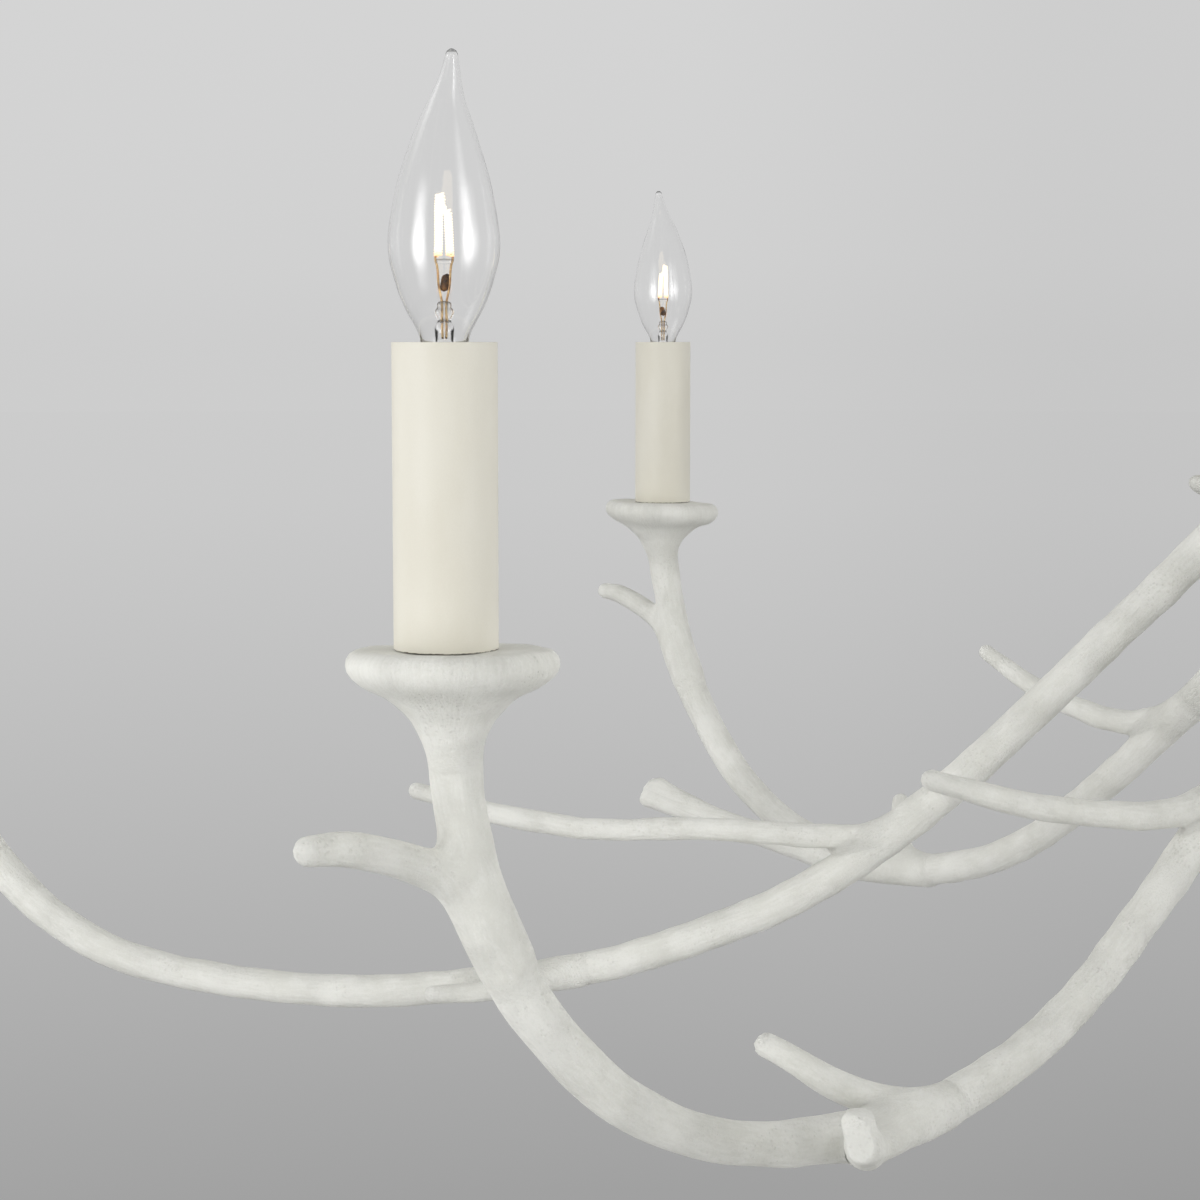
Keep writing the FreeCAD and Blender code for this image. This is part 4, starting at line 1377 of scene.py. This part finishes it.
# %% Trunk
_, trunk_high = corners("hub_trunk")
_, cover_high = corners("hub_cover")
trunk_top, trunk_foot = float(trunk_high[2]), float(cover_high[2])
trunk_radius = 24.0 * MM
waist_radius = 21.5 * MM
hollow_radius = 18.0 * MM
boss_radius = 10.0 * MM
boss_root_radius = 11.5 * MM
boss_melt_reach = 6.0 * MM
grub_radius = 2.08 * MM
grub_reach = 20 * MM
spigot_bore_radius = 5.08 * MM
saw_reach = 1.6 * boss_radius


def trunk_field():
    """A waisted turned body with a cone melted on for each arm, from its heart on the trunk's
    axis to the arm's seat. Returns the field, and each boss's heart, seat, direction, heading."""
    middle = (trunk_top + trunk_foot) / 2
    rows = [(trunk_radius, trunk_foot), (waist_radius, middle), (trunk_radius, trunk_top)]
    line = smooth_line(rows, 14)
    profile = np.vstack([[0.0, trunk_foot], line, [0.0, trunk_top]])
    field = spun(profile, np.zeros(3))
    seats = []
    for candle in candles:
        shares = long_branch_shares if candle["number"] % 2 == 0 else short_branch_shares
        out, _, down, _ = shares[-1]
        seat = np.array([out * candle["reach"], 0.0, candle_line - down * candle["reach"]])
        heart = seat - boss_direction * np.sqrt(2) * seat[0]
        rows = np.array([[*heart, boss_root_radius], [*seat, boss_radius]])
        seats.append((turn(heart, candle["heading"]), turn(seat, candle["heading"]),
                      turn(boss_direction, candle["heading"]), candle["heading"]))
        rows = np.column_stack([turn(rows[:, :3], candle["heading"]), rows[:, 3]])
        field = melt(field, chain(rows), boss_melt_reach)
    return field, seats


def boss_trim(field, seats):
    """Saws every boss off flat at its seat: only points near the boss's own axis are held back."""
    def sawn(p):
        distance, slope, grain = field(p)
        for _, seat, outward, _ in seats:
            lead = (p - seat) @ outward
            side = p - seat - lead[:, None] * outward
            near = (np.linalg.norm(side, axis=1) < saw_reach) & (lead > distance)
            distance = np.where(near, lead, distance)
            slope = np.where(near[:, None], outward, slope)
        return distance, slope, grain

    return sawn


field, seats = trunk_field()
field = boss_trim(field, seats)
field = carve(field, rod((0, 0, trunk_foot - overrun), (0, 0, trunk_top + overrun), hollow_radius))
for heart, seat, outward, heading in seats:
    field = carve(field, rod(heart, seat + overrun * outward, spigot_bore_radius))
    upward = turn(np.array([1.0, 0.0, 1.0]) / np.sqrt(2), heading)
    middle = seat - outward * spigot_length / 2
    field = carve(field, rod(middle, middle + grub_reach * upward, grub_radius))
TRUNK_VOXEL = 1.2 * MM
points, faces, grain = grown("hub_trunk", field, TRUNK_VOXEL)
plastered("cast_trunk", (points, faces), "hub_trunk")
print("trunk", len(points), "points")

# %% [markdown]
# Cap, cover and finial are turned from their outlines, which are tables of shares of each node's
# own box. Cap and cover let the threaded tube through; the finial has a blind socket for it.

# %% Cap, cover and finial
finial_shares = [(0.06, 0.00), (0.20, 0.03), (0.33, 0.14), (0.54, 0.25), (0.75, 0.38), (0.93, 0.52),
                 (1.00, 0.67), (0.98, 0.80), (0.86, 0.92), (0.66, 1.00)]
cover_shares = [(0.62, 0.00), (0.80, 0.16), (0.95, 0.42), (1.00, 0.66), (1.00, 1.00)]
cap_shares = [(1.00, 0.00), (1.00, 0.20), (0.90, 0.30), (0.70, 0.46), (0.50, 0.62), (0.39, 0.78),
              (0.35, 1.00)]
rod_low, rod_high = corners("hub_rod")
rod_radius = float(rod_high[0] - rod_low[0]) / 2


def outline(shares, node, count=24):
    """A table of shares as a smooth profile from the top down, sized by the node's box."""
    low, high = corners(node)
    size = np.array([(high[0] - low[0]) / 2, high[2] - low[2]])
    return smooth_line(np.array(shares) * size + [0.0, low[2]], count)[::-1]


edge = 0.8 * MM
finial_edge = 0.5 * MM
socket_depth = 12 * MM
for name, shares in (("hub_cap", cap_shares), ("hub_cover", cover_shares)):
    shape = spun_tube(outline(shares, name), rod_radius, edge, around=72)
    plastered("turned_" + name[4:], shape, name)
finial_line = outline(finial_shares, "finial", 30)
top = finial_line[0, 1]
socket = [(rod_radius, top), (rod_radius, top - socket_depth), (axis_gap, top - socket_depth)]
finial_loop = np.vstack([finial_line[::-1], socket])
shape = turned(soften(finial_loop, finial_edge), around=64)
plastered("turned_finial", shape, "finial")
print("threaded tube in mm", round(2 * rod_radius / MM, 2), "wide, socket", round(socket_depth / MM), "deep")

# %% [markdown]
# Stems, swivel and canopy
#
# Two painted tubes, joined by a coupler with a groove round its middle, hang from a small
# universal joint under the canopy.

# %% Stems and coupler
stem_low, stem_high = corners("upper_stem")
tube_radius = float(stem_high[0] - stem_low[0]) / 2
tube_bore = 4.98 * MM
tube_edge = 0.4 * MM
for name in ("upper_stem", "lower_stem"):
    low, high = corners(name)
    line = [(tube_radius, high[2]), (tube_radius, low[2])]
    plastered("painted_" + name, spun_tube(line, tube_bore, tube_edge), name)
low, high = corners("stem_coupler")
coupler_radius = float(high[0] - low[0]) / 2
groove = 0.5 * MM
foot, top = float(low[2]), float(high[2])
middle = (foot + top) / 2
groove_radius = coupler_radius - groove
coupler_line = [(coupler_radius, top), (coupler_radius, middle + MM), (groove_radius, middle + groove),
                (groove_radius, middle - groove), (coupler_radius, middle - MM), (coupler_radius, foot)]
shape = spun_tube(coupler_line, tube_radius, groove)
plastered("painted_coupler", shape, "stem_coupler")
print("stems and coupler in mm", round(2 * tube_radius / MM, 1), round(2 * coupler_radius / MM, 1), "wide")

# %% [markdown]
# Each fork of the joint is cast: a disc with two round-ended ears that hold the cross's pins, so
# it is a field again. The lower fork has a plug that goes down into the stem.

# %% Swivel forks
_, fork_high = corners("swivel_upper_fork")
cross_low, cross_high = corners("swivel_cross")
swivel_height = float(cross_low[2] + cross_high[2]) / 2
fork_radius = 10.0 * MM
bridge = 7.0 * MM
ear_width = 9.0 * MM
ear_inner, ear_outer = 6.6 * MM, 10.0 * MM
trunnion_hole = 2.55 * MM
round_edge = 0.5 * MM
ear_melt_reach = 0.8 * MM
plug_melt_reach = 0.2 * MM


def ear(side, end_height):
    """A flat ear with a round end: in the plane across the pin it is a thick line, and it is as
    thick as the gap between its two faces. The corners are rounded by a small radius."""
    centre = side * (ear_inner + ear_outer) / 2
    half = (ear_outer - ear_inner) / 2 - round_edge
    wide = ear_width / 2 - round_edge

    def field(p):
        nearest = np.clip(p[:, 2], *sorted((end_height, swivel_height)))
        across = np.column_stack([np.zeros(len(p)), p[:, 1], p[:, 2] - nearest])
        away = np.maximum(np.linalg.norm(across, axis=1), 1e-9)
        q = np.column_stack([away - wide, np.abs(p[:, 0] - centre) - half])
        outside = np.maximum(q, 0)
        length = np.linalg.norm(outside, axis=1)
        distance = length + np.minimum(q.max(1), 0) - round_edge
        weight = np.where((length > 0)[:, None], outside / np.maximum(length, 1e-12)[:, None],
                          np.eye(2)[q.argmax(1)])
        slope = across / away[:, None] * weight[:, :1]
        slope[:, 0] += np.sign(p[:, 0] - centre) * weight[:, 1]
        return distance, slope, p

    return field


def fork_field(far_height, upward):
    """The bridge disc and both ears melted by a little, bored for the pins."""
    near_height = far_height + upward * bridge
    low, high = sorted((far_height, near_height))
    field = rod((0, 0, low), (0, 0, high), fork_radius)
    for side in (-1, 1):
        field = melt(field, ear(side, near_height), ear_melt_reach)
    hole = rod((-2 * ear_outer, 0, swivel_height), (2 * ear_outer, 0, swivel_height), trunnion_hole)
    return carve(field, hole)


FORK_VOXEL = 0.5 * MM
fork_top = float(fork_high[2])
thread_hole = rod((0, 0, fork_top + overrun), (0, 0, fork_top - bridge - overrun), rod_radius)
upper = carve(fork_field(fork_top, -1), thread_hole)
points, faces, grain = grown("swivel_upper_fork", upper, FORK_VOXEL)
plastered("cast_upper_fork", (points, faces), "swivel_upper_fork")
stem_top = float(stem_high[2])
plug_radius = 4.9 * MM
lower_low, _ = corners("swivel_lower_fork")
plug = rod((0, 0, lower_low[2]), (0, 0, stem_top + overrun), plug_radius)
lower = melt(fork_field(stem_top, 1), plug, plug_melt_reach)
points, faces, grain = grown("swivel_lower_fork", lower, FORK_VOXEL, np.pi / 2)
plastered("cast_lower_fork", (turn(points, np.pi / 2), faces), "swivel_lower_fork")
print("lower fork", len(points), "points")

# %% [markdown]
# The canopy is a thin spun pan, so its profile runs down the outside and back up the inside. The
# collar under it is a turned ring, knurled for the fingers.

# %% Canopy and collar
canopy_low, _ = corners("canopy")
canopy_wall = 1.5 * MM
canopy_edge = 0.4 * MM
canopy_shares = [(0.10, 0.00), (0.50, 0.00), (0.66, 0.01), (0.76, 0.04), (0.86, 0.12), (0.94, 0.28),
                 (0.985, 0.46), (1.00, 0.66), (1.00, 0.97), (1.00, 1.00)]
canopy_line = outline(canopy_shares, "canopy", 40)
inner_line = canopy_line[::-1] + [-canopy_wall, 0.0]
inner_line[:, 1] = np.maximum(inner_line[:, 1], canopy_low[2] + canopy_wall)
canopy_line[-1, 0] = rod_radius
inner_line[0, 0] = rod_radius
canopy_loop = np.vstack([canopy_line, inner_line, canopy_line[:2]])
pan = turned(soften(canopy_loop, canopy_edge)[1:-1], around=96, closing="joined")
plastered("spun_canopy", pan, "canopy")
collar_shares = [(0.80, 0.00), (0.93, 0.10), (1.00, 0.30), (1.00, 0.72), (0.95, 1.00)]
knurls = 48
knurl_depth = 0.25 * MM
grip_middle_share, grip_reach_share = 0.5, 0.32


def knurled_collar():
    """A turned ring whose radius dips with the cosine of many angles round, as a grip."""
    line = outline(collar_shares, "canopy_collar", 16)
    loop = np.vstack([line, [[rod_radius, line[-1, 1]], [rod_radius, line[0, 1]]]])
    angle = angles(knurls * 4)
    height = (loop[:, 1:] - line[-1, 1]) / (line[0, 1] - line[-1, 1])
    grip = np.clip(1 - np.abs(height - grip_middle_share) / grip_reach_share, 0, 1)
    grip = grip * (loop[:, :1] > 2 * rod_radius)
    ring = loop[:, :1] - knurl_depth * grip * (1 - np.cos(knurls * angle)) / 2
    return skin(circles(ring, loop[:, 1:], angle), "joined")


plastered("knurled_collar", knurled_collar(), "canopy_collar")
print("canopy rows", len(canopy_loop))

# %% [markdown]
# Steel that stays as the frame made it
#
# Strap, nuts, nipples, the swivel's cross and the screws already have their true shape, so their
# own meshes stay and only get a finish: zinc plate, with the patches that plating has, and green
# paint on the bonding screw.


# %% Steel finishes on the frame's own pieces
def zinc():
    """Bare grey metal: a noise of large patches sets its tone, and with fine long scratches its
    roughness."""
    finish = Finish("zinc_plate")
    place = finish.place()
    spangle = finish.noise(place, 190.0, 3.0)
    scratch = finish.noise(finish.stretched(place, (0.1, 1.0, 1.0)), 900.0, 2.0)
    colour = finish.mix(spangle, (0.50, 0.50, 0.49), (0.68, 0.68, 0.66))
    roughness = 0.26 + spangle * 0.2 + scratch * 0.1
    return finish.surface({"Base Color": colour, "Metallic": 1.0, "Roughness": roughness,
                           "Normal": finish.bump(scratch, 0.02 * MM)})


def green_paint():
    """Green, worn through to steel where a noise is high."""
    finish = Finish("green_screw_paint")
    place = finish.place()
    wear = finish.rise(finish.noise(place, 420.0, 3.0), 0.60, 0.70)
    colour = finish.mix(wear, (0.02, 0.22, 0.07), (0.45, 0.44, 0.40))
    return finish.surface({"Base Color": colour, "Metallic": 0.4 + wear * 0.5, "Roughness": 0.35})


zinc_plate = zinc()
screw_paint = green_paint()
plated = ["crossbar", "crossbar_nut", "canopy_nipple", "swivel_cross", "hub_rod", "arm_screws",
          "candle_nipples"]
kept = {**dict.fromkeys(plated, zinc_plate), "ground_screw": screw_paint}
for node, finish in kept.items():
    nodes[node].data.materials.clear()
    nodes[node].data.materials.append(finish)
print("kept nodes", len(kept))

# %% [markdown]
# Backdrop
#
# The studio is a pale grey sweep, darker toward the floor and a little darker on its far right.
# Its colour is given only to camera, mirror and glass rays, so it can be any grey without
# changing the light. Everything else is lit by an even sky.

# %% Studio
camera_place = np.array([0.6034, -0.9132, -0.760])
horizon_pixels, focal_pixels = 258.0, 2600.0
camera_pitch = np.arctan(horizon_pixels / focal_pixels)
camera_heading = np.radians(141.486)
forward = np.array([np.cos(camera_heading), np.sin(camera_heading), 0.0])
right = np.array([np.sin(camera_heading), -np.cos(camera_heading), 0.0])
sky_level = 0.495
shade_start, shade_end, shade_depth = 0.02, 0.19, 0.065
backdrop_stops = [(0.0, 0.600), (0.20, 0.615), (0.26, 0.636), (0.36, 0.651), (0.46, 0.660), (1.0, 0.70)]


def grey(level):
    """A colour with three equal parts."""
    return (level, level, level)


def side_shade(finish, direction):
    """A little less light on the far right of the sweep: 1, falling to 0.935."""
    settings = {"operation": "DOT_PRODUCT"}
    lean = finish.node("ShaderNodeVectorMath", settings, {0: direction, 1: right}, "Value")
    return 1 - finish.rise(lean, shade_start, shade_end) * shade_depth


def grey_ramp(finish, factor, stops):
    """A ramp of greys; each stop is a place and a level."""
    return finish.ramp(factor, *[(place, grey(level)) for place, level in stops])


def shaded(finish, colour, shade):
    """A colour scaled by a number."""
    inputs = {0: colour, "Scale": shade}
    return finish.node("ShaderNodeVectorMath", {"operation": "SCALE"}, inputs)


def seen_directly(finish):
    """1 for rays that show the backdrop: from the camera, a mirror or through glass."""
    path = "ShaderNodeLightPath"
    camera = finish.node(path, output="Is Camera Ray")
    mirror = finish.node(path, output="Is Glossy Ray")
    glass = finish.node(path, output="Is Transmission Ray")
    return finish.rise(camera + mirror + glass, 0.2, 0.8)


world = bpy.data.worlds.new("studio")
bpy.context.scene.world = world
studio = Finish("studio", world)
direction = studio.node("ShaderNodeTexCoord", output="Generated")
lift = studio.part(direction, 2)
share = studio.node("ShaderNodeMapRange", None, {0: lift, 1: -0.1, 2: 0.4})
backdrop = grey_ramp(studio, share, backdrop_stops)
backdrop = shaded(studio, backdrop, side_shade(studio, direction))
light = studio.node("ShaderNodeBackground", None, {"Color": grey(sky_level), "Strength": 1.0})
shown = studio.node("ShaderNodeBackground", None, {"Color": backdrop, "Strength": 1.0})
both = studio.node("ShaderNodeMixShader", None, {0: seen_directly(studio), 1: light, 2: shown})
studio.end(both, "ShaderNodeOutputWorld")
print("camera", round(float(np.linalg.norm(camera_place - candles[6]["axis"] - up * candle_line)), 2),
      "m from the nearest candle, tilted down by", round(float(np.degrees(camera_pitch)), 1), "degrees")

# %% [markdown]
# Floor
#
# Near the object the floor is a real surface that takes its shadow. Further out it fades into a
# tone of its own that meets the backdrop at the horizon. The ramp runs over nearness, one over
# the distance, because that is what grows evenly down the picture.

# %% Floor
floor_height = -2.35
seen_floor_start = 3.74
floor_rings, floor_around = np.geomspace(0.5, 60.0, 24)[:, None], 64
real_until, flat_from = 2.4, 3.6
floor_stops = [(0.0, 0.615), (0.148, 0.591), (0.357, 0.527), (0.595, 0.456), (0.837, 0.392), (1.0, 0.356)]
disc = circles(floor_rings, floor_height, angles(floor_around))
points = np.vstack([disc.reshape(-1, 3), [[0, 0, floor_height]]])
middle = fan_faces(0, floor_around, len(points) - 1)[:, ::-1]
faces = [ring_faces(len(floor_rings), floor_around, False), middle]
floor = bpy.data.objects.new("floor", mesh_from("floor", points, faces))
bpy.context.scene.collection.objects.link(floor)
paint = Finish("floor_paint")
place = paint.place()
along_floor = paint.stretched(place, (1.0, 1.0, 0.0))
distance = paint.node("ShaderNodeVectorMath", {"operation": "LENGTH"}, {0: along_floor}, output="Value")
nearness = seen_floor_start / distance
tone = grey_ramp(paint, nearness, floor_stops)
heading = paint.node("ShaderNodeVectorMath", {"operation": "NORMALIZE"}, {0: place})
tone = shaded(paint, tone, side_shade(paint, heading))
cloud = paint.noise(place, 1.7, 3.0)
real = paint.node("ShaderNodeBsdfDiffuse", None, {"Color": shaded(paint, tone, 1.12 + cloud * 0.08)})
flat = paint.node("ShaderNodeEmission", None, {"Color": tone, "Strength": 1.0})
share = paint.rise(distance, real_until, flat_from) * seen_directly(paint)
paint.end(paint.node("ShaderNodeMixShader", None, {0: share, 1: real, 2: flat}))
floor.data.materials.append(paint.owner)
floor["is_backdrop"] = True
print("floor", len(points), "points, real surface out to", real_until, "m")

# %% [markdown]
# Soft boxes
#
# Two tall soft boxes stand left and right of the camera and draw the two bright stripes in the
# bulbs. Two more stand behind on either side and light the rims, one hangs high on the left and
# one lifts the undersides. All are placed round the near bulb and aimed at it. Those that would
# leave a wrong stripe in the glass don't show in mirrors or through glass.

# %% Soft boxes
edge_share = 0.5
bulb_middle = 30 * MM


def soft_box(name, place, aim, width, height, level, mirrored):
    """A rectangular lamp aimed at a point, whose face has the brightness `level` in its middle,
    where 1 is white, and fades toward its edges. Its power follows from its area."""
    lamp = bpy.data.lights.new(name, "AREA")
    lamp.shape = "RECTANGLE"
    lamp.size, lamp.size_y = width, height
    lamp.energy = level * np.pi * width * height
    cloth = Finish(name, lamp)
    spot = cloth.node("ShaderNodeNewGeometry", output="Parametric")
    fade = 1.0
    for side in (0, 1):
        share = cloth.part(spot, side)
        fade = fade * cloth.rise(share, 0.0, edge_share) * (1 - cloth.rise(share, 1 - edge_share, 1.0))
    glow = cloth.node("ShaderNodeEmission", None, {"Color": grey(1.0), "Strength": fade})
    cloth.end(glow, "ShaderNodeOutputLight")
    box = bpy.data.objects.new(name, lamp)
    bpy.context.scene.collection.objects.link(box)
    box.location = place
    box.rotation_mode = "QUATERNION"
    box.rotation_quaternion = (Vector(aim) - Vector(place)).to_track_quat("-Z", "Y")
    box.visible_camera = False
    box.visible_glossy = mirrored
    box.visible_transmission = mirrored
    return box


near_bulb = candles[6]["axis"] + up * (candle_line + bulb_middle)


def beside_camera(degrees, distance, rise):
    """A place round the near bulb: turned from the camera's side by an angle to the right."""
    a = np.radians(degrees)
    return near_bulb + distance * (right * np.sin(a) - forward * np.cos(a)) + up * rise


# name, degrees to the right of the camera, distance, rise, width, height, level, seen in mirrors
boxes = [
    ("left_box", -49.0, 1.8, -0.05, 1.38, 2.5, 6.8, True),
    ("right_box", 62.0, 2.0, 0.05, 1.8, 2.3, 4.7, True),
    ("rim_box", -115.0, 2.2, 0.2, 2.1, 3.1, 1.3, False),
    ("far_rim_box", 115.0, 2.2, 0.2, 2.1, 3.1, 1.2, False),
    ("high_box", -112.0, 2.2, 1.9, 2.1, 2.0, 1.5, True),
    ("low_box", -20.0, 1.9, -1.35, 3.1, 1.9, 2.1, False),
]
for name, degrees, distance, rise, width, height, level, mirrored in boxes:
    box = soft_box(name, beside_camera(degrees, distance, rise), near_bulb, width, height, level, mirrored)
    print(name, round(box.data.energy, 1), "W")

# %% [markdown]
# Camera
#
# The picture is a close view from about the height of the sleeves' tops, tilted down a little,
# with a longish lens: 78 mm on a 36 mm wide sensor.

# %% Camera
picture_pixels = 1200
lens = bpy.data.cameras.new("camera")
lens.sensor_width = 36.0
lens.lens = lens.sensor_width * focal_pixels / picture_pixels
lens.clip_start, lens.clip_end = 0.02, 200.0
camera = bpy.data.objects.new("camera", lens)
bpy.context.scene.collection.objects.link(camera)
camera.location = camera_place
gaze = forward * np.cos(camera_pitch) - up * np.sin(camera_pitch)
camera.rotation_mode = "QUATERNION"
camera.rotation_quaternion = Vector(gaze).to_track_quat("-Z", "Y")
bpy.context.scene.camera = camera
bpy.context.scene.view_settings.view_transform = "Standard"
print("lens", round(lens.lens, 1), "mm")

# %% [markdown] The size The dressed part should fill the same box as the solids it
# stands for. Its box is printed.

# %% Print the visual box
low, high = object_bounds()
print("visual box", [round(v, 4) for v in (*low, *high)])
